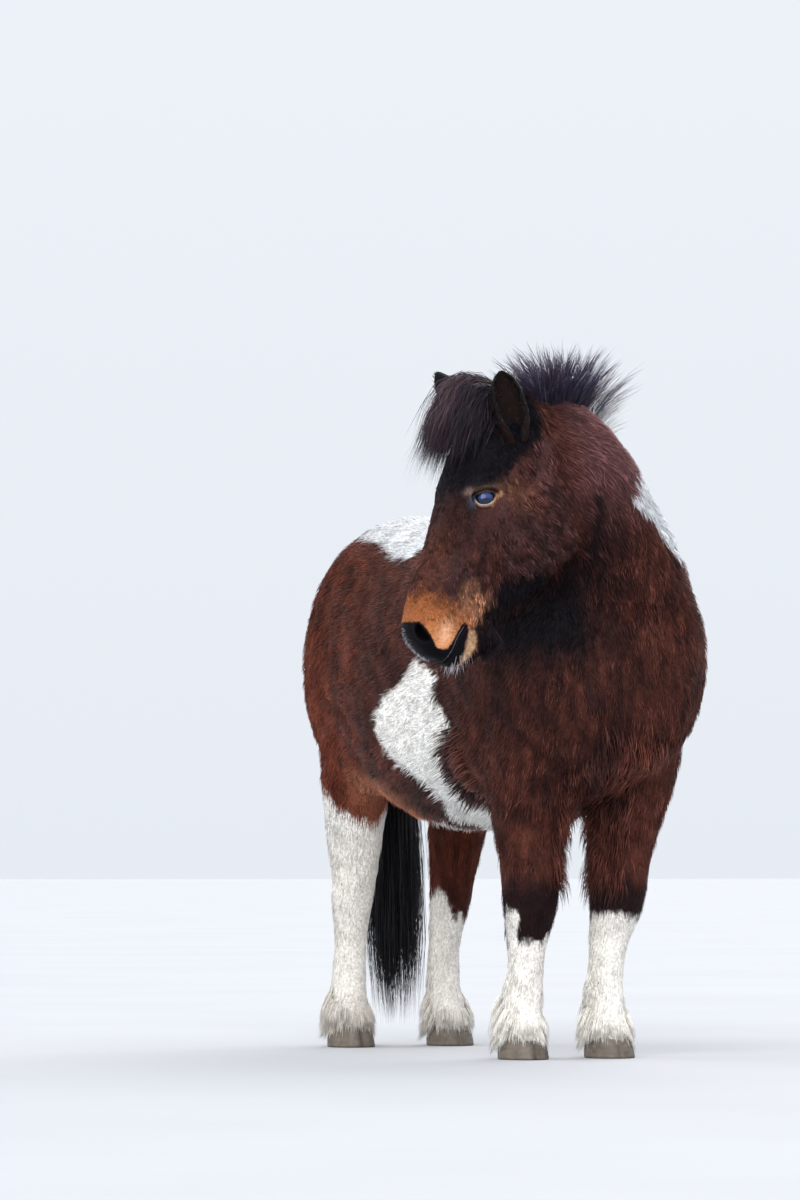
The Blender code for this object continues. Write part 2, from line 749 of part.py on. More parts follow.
def tube(name, rows, sides=16, rings_per_row=2):
    """A closed tube from rows of centre, half width and half depth, whose width runs left to right."""
    smooth_rows = spline_rows(rows, rings_per_row)
    centres = [Vector(row[:3]) for row in smooth_rows]
    rings = []
    for i, row in enumerate(smooth_rows):
        forward = (centres[min(i + 1, len(centres) - 1)] - centres[max(i - 1, 0)]).normalized()
        up = forward.cross(LEFT).normalized()
        rings.append(oval(centres[i], LEFT, up, row[3], row[4], row[4], sides=sides))
    mesh = bmesh.new()
    loft(mesh, rings)
    return object_of(name, mesh)


def crest_line():
    """Points on the neck's crest from the withers to the poll, each with the ways up and across."""
    return [(centre + crest * deep, crest, across) for centre, across, crest, deep, half in neck_rows()]


def mane_core(first, last):
    """A low ridge under the mane, which reaches less than half way to the tips of its locks."""
    line = crest_line()[first : last + 1]
    rings = []
    for i, (point, crest, across) in enumerate(line):
        share = (i + first - MANE_START + 0.5) / (MANE_END - MANE_START)
        size = 0.4 + 0.6 * math.sin(math.pi * share) ** 0.5
        rings.append(oval(point, across, crest, 0.036 * size, 0.046 * size, 0.05, sides=8))
    mesh = bmesh.new()
    loft(mesh, rings)
    return object_of("core", mesh)


def lock(path, width, thickness, out):
    """A flat lock: a closed strip of diamond rings along path, a list of points, tapering to its last point.

    out is the way that its flat side faces.
    """
    mesh = bmesh.new()
    rows = []
    for i, point in enumerate(path[:-1]):
        forward = (path[i + 1] - path[max(i - 1, 0)]).normalized()
        across = forward.cross(out).normalized()
        up = across.cross(forward)
        share = i / (len(path) - 1)
        half = width / 2 * (1 - share**2.2) * (0.8 if i == 0 else 1)
        deep = thickness / 2 * (1 - 0.45 * share)
        ring = (point + across * half, point + up * deep, point - across * half, point - up * deep)
        rows.append([mesh.verts.new(p) for p in ring])
    tip = mesh.verts.new(path[-1])
    for low, high in zip(rows, rows[1:]):
        for k in range(4):
            n = (k + 1) % 4
            corners = (low[k], low[n], high[n], high[k])
            mesh.faces.new(corners[:3])
            mesh.faces.new((corners[0], corners[2], corners[3]))
    for k in range(4):
        mesh.faces.new((rows[-1][k], rows[-1][(k + 1) % 4], tip))
    mesh.faces.new(rows[0])
    bmesh.ops.recalc_face_normals(mesh, faces=mesh.faces)
    return object_of("lock", mesh)


def arc(root, bend, tip, steps):
    """Points on the curve that leaves root towards bend and ends at tip."""
    return [root * (1 - t) ** 2 + bend * 2 * t * (1 - t) + tip * t * t for t in np.linspace(0, 1, steps + 1)]


def vary(amount):
    return random.uniform(-amount, amount)


def mane_locks(first, last):
    """The locks rooted from the crest's row first to its row last, in three rows.

    They lean to the left, stand up and fall to the right.
    """
    line = crest_line()
    made = []
    for k in range(MANE_COUNT):
        place = MANE_START + (MANE_END - 1 - MANE_START) * (k + 0.5 + vary(0.3)) / MANE_COUNT
        if not first <= place < last:
            continue
        i = min(int(place), len(line) - 2)
        point, crest, across = (line[i][j].lerp(line[i + 1][j], place - i) for j in range(3))
        towards_poll = (line[i + 1][0] - line[i][0]).normalized()
        along = (k + 0.5) / MANE_COUNT
        for row, size in zip((-1, 0, 1), MANE_LENGTHS):
            left = across * (row + vary(0.3))
            length = size * (0.78 + 0.22 * math.sin(math.pi * along)) * (1 + vary(0.13))
            fall = towards_poll * (0.9 * along - 0.45 + vary(0.22))
            way = (crest + left * 0.6 + fall * 0.7).normalized()
            aside = 0.005 if k % 2 else -0.005
            root = point + left * 0.015 - way * MANE_SUNK - crest * 0.012 + across * aside
            bend = root + way * (length + MANE_SUNK) * 0.55 + crest * 0.014
            droop = crest * (0.012 + 0.75 * max(0.0, length - 0.13))
            tip = root + way * (length + MANE_SUNK) + left * 0.030 - droop
            out = left + across * 0.2 + fall * 0.3
            steps = 4 if row == 1 else 3
            made.append(lock(arc(root, bend, tip, steps), MANE_WIDTH * (1 + vary(0.2)), 0.009, out))
    return made


def forelock_locks():
    """Locks from the poll that arch forward and hang over the forehead, in two layers from side to side."""
    made = []
    for layer, (reach, drop) in enumerate(((0.175, 0.235), (0.140, 0.205))):
        for k in range(FORELOCK_COUNT):
            side = -1 + 2 * (k + 0.5 + 0.5 * layer) / FORELOCK_COUNT + vary(0.05)
            outer = abs(side) ** 2
            root = head_point(0.034 + 0.014 * layer, 0.052, side * 0.050)
            out = reach + 0.095 - 0.08 * outer + vary(0.010)
            bend = head_point(-0.055 + 0.05 * outer, out, side * 0.088)
            end = drop * (1 - 0.10 * outer) + vary(0.020)
            tip = head_point(end, reach + 0.010 - 0.055 * outer + vary(0.010), side * 0.100 + vary(0.010))
            width = FORELOCK_WIDTH * (1 + vary(0.2))
            made.append(lock(arc(root, bend, tip, 4), width, 0.010, head_way(-0.6, 0.8, side * 0.5)))
    return made


def tail_row(share):
    """The tail's centre, half width and half depth at this share of the way down it."""
    rows = spline_rows(TAIL, 4)
    place = share * (len(rows) - 1)
    i = min(int(place), len(rows) - 2)
    return rows[i] + (rows[i + 1] - rows[i]) * (place - i)


def tail_core():
    """The dock and the thick of the tail, which reaches half way down it."""
    rows = spline_rows(TAIL, 3)[:TAIL_CORE_ROWS]
    for i, row in enumerate(rows):
        row[3:] *= 0.78 * (1 - 0.7 * (i / (TAIL_CORE_ROWS - 1)) ** 2)
    return tube("tail", rows, 12, 1)


def tail_lock(start, stop, angle, root_size, size, width, steps):
    """A lock that leaves the core at start and hangs to stop, both as shares of the tail's length."""
    across, deep = math.sin(angle), math.cos(angle)
    path = []
    for t in np.linspace(0, 1, steps + 1):
        x, y, z, half, depth = tail_row(start + (stop - start) * t)
        spread = root_size + (size - root_size) * min(1.0, 2.2 * t) - 0.12 * t
        path.append(Vector((x + across * half * spread, y + deep * depth * spread, z)))
    return lock(path, width * (1 + vary(0.15)), 0.012, Vector((across, deep, 0)))


def tail_locks():
    """Long locks in rings from the core's lower half to the tail's end, and short ones over its upper."""
    made = []
    for count, size, width in TAIL_RINGS:
        for k in range(count):
            angle = 2 * math.pi * (k + 0.5 * (size < 1) + vary(0.08)) / count
            made.append(tail_lock(0.28 + vary(0.03), 1 - abs(vary(0.14)), angle, 0.20, size, width, 4))
    for k in range(TAIL_TOP_COUNT):
        start = 0.05 + 0.20 * (k % 3) / 3 + vary(0.02)
        angle = 2 * math.pi * (k + vary(0.2)) / TAIL_TOP_COUNT
        made.append(tail_lock(start, start + 0.42 + vary(0.06), angle, 0.25, 1.28, 0.042, 3))
    return made


def feather_locks(out, back):
    """Locks that hang from the fetlock and the coronet, longest behind."""
    made = []
    for k in range(FEATHER_COUNT):
        angle = 2 * math.pi * (k + 0.5 + vary(0.15)) / FEATHER_COUNT
        around = Vector((math.sin(angle), math.cos(angle), 0))
        behind = 0.5 + 0.5 * math.cos(angle)
        top = 0.088 + 0.062 * behind + 0.012 * (k % 2)
        middle = Vector((out, back + FEATHER_SHIFT * behind, 0))
        root = middle + around * 0.036 + UP * top
        bend = middle + around * (0.062 + 0.022 * behind) + UP * (top - 0.030)
        fall = 0.012 + 0.014 * behind + abs(vary(0.014))
        tip = middle + around * (0.066 + 0.024 * behind + 0.003 * (k % 2)) + UP * fall
        made.append(lock(arc(root, bend, tip, 3), 0.044 * (1 + vary(0.15)), 0.010, around))
    return made


def fringe(obj, starts, way, hang, length, width):
    """Short wide locks that overlap along the line where rays from starts along way leave the object."""
    tree = BVHTree.FromPolygons([v.co for v in obj.data.vertices], [p.vertices for p in obj.data.polygons])
    made = []
    for start in starts:
        hit = tree.ray_cast(start, way)[0]
        reach = length * (1 + vary(0.2))
        bend = hit + way * reach * 0.30
        tip = hit + (way * 0.45 + hang).normalized() * reach
        path = arc(hit - way * 0.020, bend, tip, 3)
        made.append(lock(path, width * (1 + vary(0.15)), 0.012, way - hang))
    return made


def chest_fringe(flesh):
    """Locks of long winter coat under the chest, between the forelegs."""
    starts = [Vector((0, back, 0.75)) for back in np.linspace(CHEST_FIRST, CHEST_LAST, CHEST_COUNT)]
    return fringe(flesh, starts, -UP, BACK * 0.8, 0.065, 0.060)


def beard(head):
    """Locks of long winter coat under the jaw."""
    starts = [head_point(along, -0.06) for along in np.linspace(BEARD_FIRST, BEARD_LAST, BEARD_COUNT)]
    return fringe(head, starts, head_way(0.1, -1, 0).normalized(), head_way(0.9, 0, 0), 0.050, 0.050)


def material(name, colour, roughness, metallic=0.0):
    made = bpy.data.materials.new(name)
    made.use_nodes = True
    shader = made.node_tree.nodes["Principled BSDF"]
    shader.inputs["Base Color"].default_value = (*colour, 1)
    shader.inputs["Roughness"].default_value = roughness
    shader.inputs["Metallic"].default_value = metallic
    return made


def paint_all():
    """Gives each object a material of its own, by what its name starts with."""
    for obj in bpy.data.objects:
        colour, roughness = next(look for start, look in LOOKS.items() if obj.name.startswith(start))
        obj.data.materials.clear()
        obj.data.materials.append(material(obj.name, colour, roughness))
        obj.data.shade_smooth()
        obj.data.set_sharp_from_angle(angle=math.radians(50))


def centre_on_floor():
    """Moves everything so that the origin is under the middle of the whole horse's box."""
    corners = [v.co for obj in bpy.data.objects for v in obj.data.vertices]
    low = Vector([min(c[i] for c in corners) for i in range(3)])
    high = Vector([max(c[i] for c in corners) for i in range(3)])
    shift = Vector((-(low.x + high.x) / 2, -(low.y + high.y) / 2, -low.z))
    for obj in bpy.data.objects:
        obj.data.transform(Matrix.Translation(shift))
    return shift


def clear_scene():
    for obj in list(bpy.data.objects):
        bpy.data.objects.remove(obj)


def thinned_flesh():
    flesh = fused_flesh()
    group = flesh.vertex_groups.new(name="coarse")
    for vertex in flesh.data.vertices:
        leg = 1 - ramp(vertex.co.z, 0.55, 0.75)
        coarse = 1 - FINE_LEGS * leg - FINE_HEAD * (1 - leg) * (1 - fleshy(vertex.co))
        group.add([vertex.index], coarse, "REPLACE")
    thin = flesh.modifiers.new("thin", "DECIMATE")
    thin.ratio = FLESH_TRIANGLES / (2 * len(flesh.data.polygons))
    thin.vertex_group = "coarse"
    apply_modifiers(flesh)
    flesh.vertex_groups.clear()
    return flesh


def part_legs(flesh, side, letter):
    """Parts the two legs of one side from the flesh, each in two lengths, and gives them hooves."""
    for end, front, rear, knee, (out, foot) in (
        ("fore", FORE_CUT_FRONT, FORE_CUT_REAR, FORE_KNEE_CUT, FORE_FOOT),
        ("hind", HIND_CUT_FRONT, HIND_CUT_REAR, HOCK_CUT, HIND_FOOT),
    ):
        leg = part_by(flesh, leg_region(side, front, rear), end + "_leg_" + letter)
        low_front, low_rear = Vector((0, front.y, knee)), Vector((0, rear.y, knee))
        cannon = part_by(leg, leg_region(side, low_front, low_rear), end + "_cannon_" + letter)
        bpy.data.objects.remove(part_by(cannon, coronet_region(foot), "foot"))
        hoof(end + "_hoof_" + letter, side, out, foot)
        join_in(cannon, feather_locks(side * out, foot), "MANIFOLD")
        clear_of(cannon, bpy.data.objects[end + "_hoof_" + letter])


def main():
    clear_scene()
    random.seed(SEED)
    flesh = thinned_flesh()
    head = part_by(flesh, head_region, "head")
    neck = part_by(flesh, neck_region(), "neck_base")
    nape = part_by(neck, neck_bend_region, "neck_top")
    flesh.name = "torso"
    ears = [ear(side, letter, head) for side, letter in ((1, "l"), (-1, "r"))]
    for side, letter in ((1, "l"), (-1, "r")):
        part_legs(flesh, side, letter)
        add_eye_and_lids(head, side, letter)
        cut_nostril(head, side)
    cut_mouth(head)
    keep_largest(head)
    join_in(flesh, chest_fringe(flesh), "MANIFOLD")
    for piece, first, last in ((neck, MANE_START, NECK_BEND_ROW), (nape, NECK_BEND_ROW, MANE_END - 1)):
        join_in(piece, [mane_core(first, last)] + mane_locks(first, last), "MANIFOLD")
        clear_of(piece, head, flesh, *ears)
    clear_of(neck, nape)
    join_in(head, forelock_locks() + beard(head), "MANIFOLD")
    clear_of(head, flesh, neck, nape, *ears)
    tail = tail_core()
    join_in(tail, tail_locks(), "MANIFOLD")
    clear_of(tail, flesh)
    paint_all()
    centre_on_floor()


main()
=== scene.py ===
"""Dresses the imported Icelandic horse: skin with its lids and nostrils, winter coat, mane, forelock, tail and feather.

The skin is made from the same named sizes as the solids and lies inside them by the coat's depth. All sizes are in
metres. Work is done in the model's own frame, where the forefeet stand near Y = 0, and moved into the row's at the end.
"""

import math

import bmesh
import bpy
import numpy as np
from mathutils import Matrix, Vector
from mathutils.bvhtree import BVHTree
from mathutils.kdtree import KDTree


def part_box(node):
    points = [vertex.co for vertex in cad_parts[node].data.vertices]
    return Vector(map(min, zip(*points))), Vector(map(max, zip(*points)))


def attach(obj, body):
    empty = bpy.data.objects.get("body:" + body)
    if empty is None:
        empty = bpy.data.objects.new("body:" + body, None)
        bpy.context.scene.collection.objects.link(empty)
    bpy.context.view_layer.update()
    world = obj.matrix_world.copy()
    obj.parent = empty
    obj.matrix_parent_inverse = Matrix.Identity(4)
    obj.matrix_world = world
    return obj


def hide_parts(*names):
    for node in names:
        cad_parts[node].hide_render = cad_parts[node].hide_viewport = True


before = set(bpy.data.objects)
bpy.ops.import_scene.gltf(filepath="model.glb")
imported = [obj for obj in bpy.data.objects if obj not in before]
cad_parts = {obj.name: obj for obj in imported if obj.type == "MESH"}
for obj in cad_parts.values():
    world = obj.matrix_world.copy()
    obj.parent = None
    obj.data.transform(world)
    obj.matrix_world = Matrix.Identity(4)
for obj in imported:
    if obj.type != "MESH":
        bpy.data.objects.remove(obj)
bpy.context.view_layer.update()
rng = np.random.default_rng(11)

# Sizes that the solids have too
WITHERS_HEIGHT = 1.385
WHEELBASE = 0.945
NOSE_SLOPE = math.radians(21)
POLL = Vector((-0.2835, -0.3315, 1.5665))
EYE_RADIUS = 0.029
EYE_PLACE = (0.274, 0.0435, 0.0745)
BODY_VOXEL = 0.014
BODY_SMOOTHING = 26
VOXEL = 0.0065
JOINT_SMOOTHING = 34
FINE_SMOOTHING = 5
RING_SIDES = 28
RINGS_PER_ROW = 3
UP = Vector((0, 0, 1))
LEFT = Vector((1, 0, 0))
BACK = Vector((0, 1, 0))

TRUNK = (
    (-0.385, 1.02, 0.86, 0.090),
    (-0.350, 1.12, 0.775, 0.180),
    (-0.27, 1.20, 0.700, 0.248),
    (-0.16, 1.30, 0.650, 0.280),
    (0.00, 1.368, 0.608, 0.284),
    (0.10, WITHERS_HEIGHT + 0.006, 0.588, 0.284),
    (0.26, 1.368, 0.565, 0.304),
    (0.45, 1.345, 0.550, 0.320),
    (0.62, 1.358, 0.570, 0.312),
    (0.76, 1.386, 0.630, 0.298),
    (0.88, 1.388, 0.710, 0.280),
    (0.99, 1.340, 0.785, 0.248),
    (1.07, 1.260, 0.860, 0.188),
    (1.13, 1.140, 0.95, 0.10),
)
TRUNK_SQUARENESS = 2.25
NECK = (
    (0.000, 0.080, 1.000, 62, 0.260, 0.225),
    (0.000, -0.060, 1.105, 58, 0.300, 0.250),
    (-0.006, -0.165, 1.220, 50, 0.275, 0.218),
    (-0.044, -0.245, 1.318, 38, 0.228, 0.153),
    (-0.112, -0.305, 1.390, 20, 0.196, 0.138),
    (-0.180, -0.335, 1.422, 8, 0.172, 0.122),
    (-0.240, -0.340, 1.430, 0, 0.150, 0.108),
    (-0.290, -0.335, 1.427, 0, 0.120, 0.090),
)
NECK_CREST_NARROWING = 0.30
HEAD = (
    (-0.022, 0.030, -0.045, 0.040),
    (0.004, 0.086, -0.120, 0.084),
    (0.060, 0.112, -0.175, 0.100),
    (0.150, 0.126, -0.212, 0.108),
    (0.240, 0.129, -0.238, 0.110),
    (0.310, 0.121, -0.243, 0.102),
    (0.380, 0.115, -0.205, 0.086),
    (0.450, 0.113, -0.158, 0.073),
    (0.520, 0.113, -0.126, 0.066),
    (0.580, 0.106, -0.112, 0.064),
    (0.618, 0.094, -0.098, 0.060),
    (0.644, 0.068, -0.076, 0.050),
    (0.662, 0.030, -0.046, 0.030),
)
HEAD_SQUARENESS = 2.4
FORE_LEG = (
    (0.95, 0.142, -0.080, 0.110, 0.165),
    (0.80, 0.146, -0.088, 0.118, 0.145),
    (0.68, 0.142, -0.080, 0.114, 0.124),
    (0.60, 0.134, -0.064, 0.103, 0.108),
    (0.54, 0.129, -0.050, 0.092, 0.096),
    (0.475, 0.122, -0.044, 0.083, 0.086),
    (0.405, 0.119, -0.039, 0.077, 0.081),
    (0.345, 0.116, -0.028, 0.069, 0.072),
    (0.285, 0.112, -0.008, 0.056, 0.061),
    (0.22, 0.110, 0.006, 0.052, 0.060),
    (0.165, 0.111, 0.020, 0.056, 0.068),
    (0.115, 0.114, 0.016, 0.056, 0.066),
    (0.070, 0.117, 0.008, 0.058, 0.066),
    (0.035, 0.118, 0.002, 0.055, 0.062),
)
HIND_LEG = (
    (1.00, 0.140, -0.050, 0.125, 0.205),
    (0.87, 0.158, -0.080, 0.112, 0.165),
    (0.77, 0.164, -0.082, 0.102, 0.138),
    (0.67, 0.158, -0.050, 0.092, 0.118),
    (0.58, 0.150, -0.022, 0.082, 0.112),
    (0.51, 0.146, -0.010, 0.071, 0.104),
    (0.44, 0.143, 0.000, 0.061, 0.088),
    (0.38, 0.142, 0.012, 0.058, 0.076),
    (0.32, 0.139, 0.026, 0.052, 0.064),
    (0.26, 0.136, 0.036, 0.048, 0.057),
    (0.175, 0.136, 0.046, 0.051, 0.062),
    (0.120, 0.139, 0.036, 0.054, 0.063),
    (0.070, 0.142, 0.022, 0.057, 0.066),
    (0.035, 0.143, 0.016, 0.055, 0.062),
)
MUSCLES = (
    ((0.152, -0.085, 1.075), (0.146, 0.182, 0.305), -22),
    ((0.140, -0.215, 0.960), (0.126, 0.140, 0.230), 6),
    ((0.085, -0.290, 0.870), (0.110, 0.105, 0.180), 8),
    ((0.170, 0.030, 0.820), (0.110, 0.160, 0.200), -15),
    ((0.142, 0.880, 1.010), (0.150, 0.228, 0.330), 12),
    ((0.165, 0.770, 0.800), (0.105, 0.135, 0.160), 0),
    ((0.095, 1.005, 0.950), (0.125, 0.125, 0.280), 4),
)
HOCK_POINT = ((0.145, 1.022, 0.530), (0.034, 0.038, 0.062), -12)
EARS = {
    1: ((0.116, 0.018, 0.094), (-0.016, 0.128, 0.114), (0.0, 0.40, 0.92)),
    -1: ((0.085, 0.050, -0.066), (-0.008, 0.190, -0.108), (0.1, 0.55, -0.80)),
}
EAR_PROFILE = ((0.0, 0.66), (0.18, 0.88), (0.36, 1.0), (0.55, 1.0), (0.74, 0.88), (0.90, 0.60), (1.0, 0.16))
EAR_HALF_WIDTH = 0.042
EAR_DEPTH = 0.027
TAIL = (
    (0.000, 1.020, 1.255, 0.030, 0.028),
    (0.000, 1.095, 1.240, 0.036, 0.032),
    (0.008, 1.160, 1.150, 0.046, 0.036),
    (0.028, 1.178, 1.000, 0.056, 0.042),
    (0.050, 1.168, 0.820, 0.066, 0.046),
    (0.068, 1.152, 0.600, 0.076, 0.050),
    (0.070, 1.142, 0.380, 0.084, 0.054),
    (0.067, 1.136, 0.200, 0.082, 0.052),
    (0.067, 1.132, 0.065, 0.060, 0.036),
)
FORE_FOOT = (0.1180, 0.006)
HIND_FOOT = (0.1430, WHEELBASE + 0.018)
HOOF_PITCH = math.radians(-14)
HOOF_HEIGHT = 0.058
HOOF_REACH = 0.073  # from the forefeet's line to the toe


def spline_rows(rows, per_row):
    """The rows with smooth ones put between them, each column on a Catmull-Rom curve."""
    table = np.array(rows, float)
    padded = np.vstack([2 * table[0] - table[1], table, 2 * table[-1] - table[-2]])
    found = []
    for i in range(len(table) - 1):
        a, b, c, d = padded[i : i + 4]
        for k in range(per_row):
            t = k / per_row
            bend = (2 * a - 5 * b + 4 * c - d) * t**2 + (3 * b - a - 3 * c + d) * t**3
            found.append(0.5 * (2 * b + (c - a) * t + bend))
    found.append(table[-1])
    return np.array(found)


def oval(centre, across, up, half, top, bottom, squareness=2.0, narrow_top=0.0, narrow_base=0.0, sides=RING_SIDES):
    """A ring of points that reaches top above centre and bottom below it, and may be narrower at either end."""
    ring = []
    for k in range(sides):
        angle = 2 * math.pi * k / sides
        s, c = math.sin(angle), math.cos(angle)
        side = math.copysign(abs(s) ** (2 / squareness), s)
        rise = math.copysign(abs(c) ** (2 / squareness), c)
        thin = 1 - narrow_top * max(0.0, rise) - narrow_base * max(0.0, -rise)
        ring.append(centre + across * (half * side * thin) + up * ((top if c > 0 else bottom) * rise))
    return ring


def loft(mesh, rings):
    """Adds a closed skin over the rings to mesh, with a fan over each end."""
    rows = [[mesh.verts.new(p) for p in ring] for ring in rings]
    sides = len(rings[0])
    faces = []
    for low, high in zip(rows, rows[1:]):
        for k in range(sides):
            n = (k + 1) % sides
            faces.append(mesh.faces.new((low[k], low[n], high[n], high[k])))
    for row in (rows[0], rows[-1]):
        middle = mesh.verts.new(sum((v.co for v in row), Vector()) / sides)
        faces += [mesh.faces.new((row[k], row[(k + 1) % sides], middle)) for k in range(sides)]
    bmesh.ops.recalc_face_normals(mesh, faces=faces)


def ellipsoid(mesh, centre, halves, turn=Matrix.Identity(3)):
    matrix = Matrix.Translation(centre) @ turn.to_4x4() @ Matrix.Diagonal(Vector(halves)).to_4x4()
    bmesh.ops.create_icosphere(mesh, subdivisions=3, radius=1.0, matrix=matrix)


DOWN_FACE = Vector((-math.sin(NOSE_SLOPE), 0, -math.cos(NOSE_SLOPE)))
FRONT = Vector((-math.cos(NOSE_SLOPE), 0, math.sin(NOSE_SLOPE)))
HEAD_AXES = Matrix((DOWN_FACE, FRONT, Vector((0, -1, 0)))).transposed()
HEAD_ROWS = np.array([DOWN_FACE, FRONT, (0, -1, 0)])


def head_point(along, forward, left=0.0):
    """A point of the head, from its distance from the poll along the face, forward of that line and to the left."""
    return POLL + HEAD_AXES @ Vector((along, forward, left))


def head_way(along, forward, left):
    return HEAD_AXES @ Vector((along, forward, left))


def add_trunk(mesh):
    rings = []
    for back, top, bottom, half in spline_rows(TRUNK, RINGS_PER_ROW):
        middle = bottom + 0.46 * (top - bottom)
        centre = Vector((0, back, middle))
        rings.append(oval(centre, LEFT, UP, half, top - middle, middle - bottom, TRUNK_SQUARENESS))
    loft(mesh, rings)


def neck_rows():
    """Each smooth row of the neck as its centre, the way across it, the way to its crest, and its half sizes."""
    rows = spline_rows(NECK, RINGS_PER_ROW)
    centres = [Vector(row[:3]) for row in rows]
    found = []
    for i, row in enumerate(rows):
        forward = centres[min(i + 1, len(rows) - 1)] - centres[max(i - 1, 0)]
        lean = math.radians(row[3])
        hint = Vector((0, math.sin(lean), math.cos(lean)))
        crest = (hint - forward * (hint.dot(forward) / forward.length_squared)).normalized()
        found.append((centres[i], forward.cross(crest).normalized(), crest, row[4], row[5]))
    return found


def add_neck(mesh):
    loft(mesh, [
        oval(centre, across, crest, half, deep, deep, narrow_top=NECK_CREST_NARROWING)
        for centre, across, crest, deep, half in neck_rows()
    ])


def add_head(mesh):
    across, up = HEAD_AXES.col[2], HEAD_AXES.col[1]
    rings = []
    for along, front, back, half in spline_rows(HEAD, RINGS_PER_ROW):
        middle = back + 0.62 * (front - back)
        centre = head_point(along, middle)
        rings.append(oval(centre, across, up, half, front - middle, middle - back, HEAD_SQUARENESS, 0.0, 0.25))
    loft(mesh, rings)
    for side in (-1, 1):
        ellipsoid(mesh, head_point(0.255, 0.064, side * 0.080), (0.060, 0.042, 0.030), HEAD_AXES)
        ellipsoid(mesh, head_point(0.245, -0.115, side * 0.072), (0.130, 0.120, 0.046), HEAD_AXES)
        ellipsoid(mesh, head_point(0.380, 0.030, side * 0.060), (0.110, 0.022, 0.020), HEAD_AXES)
        ellipsoid(mesh, head_point(0.604, 0.052, side * 0.042), (0.034, 0.030, 0.026), HEAD_AXES)
        ellipsoid(mesh, head_point(0.622, 0.000, side * 0.028), (0.040, 0.034, 0.032), HEAD_AXES)
    ellipsoid(mesh, head_point(0.598, -0.074), (0.046, 0.036, 0.042), HEAD_AXES)
    ellipsoid(mesh, head_point(0.555, -0.112), (0.046, 0.038, 0.036), HEAD_AXES)


def add_leg(mesh, rows, side, foot_back):
    loft(mesh, [
        oval(Vector((side * out, foot_back + back, height)), LEFT, BACK, half, deep, deep)
        for height, out, back, half, deep in spline_rows(rows, RINGS_PER_ROW)
    ])


def object_of(name, mesh):
    data = bpy.data.meshes.new(name)
    mesh.to_mesh(data)
    mesh.free()
    made = bpy.data.objects.new(name, data)
    bpy.context.collection.objects.link(made)
    return made


def apply_modifiers(obj):
    graph = bpy.context.evaluated_depsgraph_get()
    data = bpy.data.meshes.new_from_object(obj.evaluated_get(graph))
    obj.modifiers.clear()
    obj.data = data
    return obj


def voxel_fuse(obj, size):
    fuse = obj.modifiers.new("fuse", "REMESH")
    fuse.mode = "VOXEL"
    fuse.voxel_size = size
    return apply_modifiers(obj)


def smooth(obj, steps, weights=None):
    """Smooths the object's surface, by each point's weight from 0 to 1 where those are given."""
    soften = obj.modifiers.new("soften", "SMOOTH")
    soften.factor = 0.5
    soften.iterations = steps
    if weights is not None:
        group = obj.vertex_groups.new(name="soft")
        for index, weight in enumerate(weights):
            if weight > 0:
                group.add([index], weight, "REPLACE")
        soften.vertex_group = "soft"
    apply_modifiers(obj)
    obj.vertex_groups.clear()
    return obj


def ramp(value, low, high):
    t = np.clip((value - low) / (high - low), 0, 1)
    return t * t * (3 - 2 * t)


def in_head(places):
    """Points in the head's own axes: along the face, forward, left."""
    return (places - np.array(POLL)) @ HEAD_ROWS.T


def places_of(data):
    found = np.empty(3 * len(data.vertices))
    data.vertices.foreach_get("co", found)
    return found.reshape(-1, 3)


def normals_of(data):
    found = np.empty(3 * len(data.vertices))
    data.vertex_normals.foreach_get("vector", found)
    return found.reshape(-1, 3)


def fleshy(places):
    head = in_head(places)
    face = ramp(head[:, 1] + 0.35 * head[:, 0], -0.22, -0.02) * ramp(-places[:, 0], 0.14, 0.22)
    return ramp(places[:, 2], 0.42, 0.62) * (1 - face)


def fused_flesh():
    """The whole body over its coat, without ears, eyes, hooves and long hair, as in the solids."""
    mesh = bmesh.new()
    add_trunk(mesh)
    add_neck(mesh)
    for side in (-1, 1):
        for (out, back, height), halves, tilt in MUSCLES:
            turn = Matrix.Rotation(math.radians(tilt), 3, "X")
            ellipsoid(mesh, Vector((side * out, back, height)), halves, turn)
    body = smooth(voxel_fuse(object_of("body", mesh), BODY_VOXEL), BODY_SMOOTHING)
    mesh = bmesh.new()
    mesh.from_mesh(body.data)
    bpy.data.objects.remove(body)
    add_head(mesh)
    for side in (-1, 1):
        add_leg(mesh, FORE_LEG, side, 0.0)
        add_leg(mesh, HIND_LEG, side, WHEELBASE)
        (out, back, height), halves, tilt = HOCK_POINT
        ellipsoid(mesh, Vector((side * out, back, height)), halves, Matrix.Rotation(math.radians(tilt), 3, "X"))
    flesh = voxel_fuse(object_of("skin", mesh), VOXEL)
    smooth(flesh, JOINT_SMOOTHING, fleshy(places_of(flesh.data)))
    return smooth(flesh, FINE_SMOOTHING)


# Fields over the body: each takes an array of points and gives a value for each.

NECK_ROWS = neck_rows()
THROAT_LINE = ((-0.06, 0.0, 0.33, 0.40, 0.47, 0.80), (0.06, 0.0, -0.262, -0.235, -0.182, -0.18))


def waves(places, size, seed):
    """A smooth random field of about the given size, mostly from -1 to 1."""
    dice = np.random.default_rng(seed)
    total = np.zeros(len(places))
    for _ in range(7):
        way = dice.normal(size=3)
        way *= 2 * math.pi / (size * dice.uniform(0.7, 1.5) * np.linalg.norm(way))
        total += np.sin(places @ way + dice.uniform(0, 6.3))
    return total / 2.2


def head_share(places):
    along, forward, left = in_head(places).T
    line = np.interp(along, *THROAT_LINE)
    return ramp(forward - line, -0.02, 0.03) * ramp(-np.abs(left), -0.17, -0.145) * ramp(along, -0.09, -0.04)


def neck_share(places):
    over = (places[:, 1] - 0.115) * -0.631 + (places[:, 2] - 1.42) * 0.776
    return ramp(over, -0.12, 0.08) * (1 - head_share(places))


def leg_share(places):
    return ramp(-places[:, 2] + 0.08 * ramp(places[:, 1], 0.4, 0.6), -0.66, -0.50)


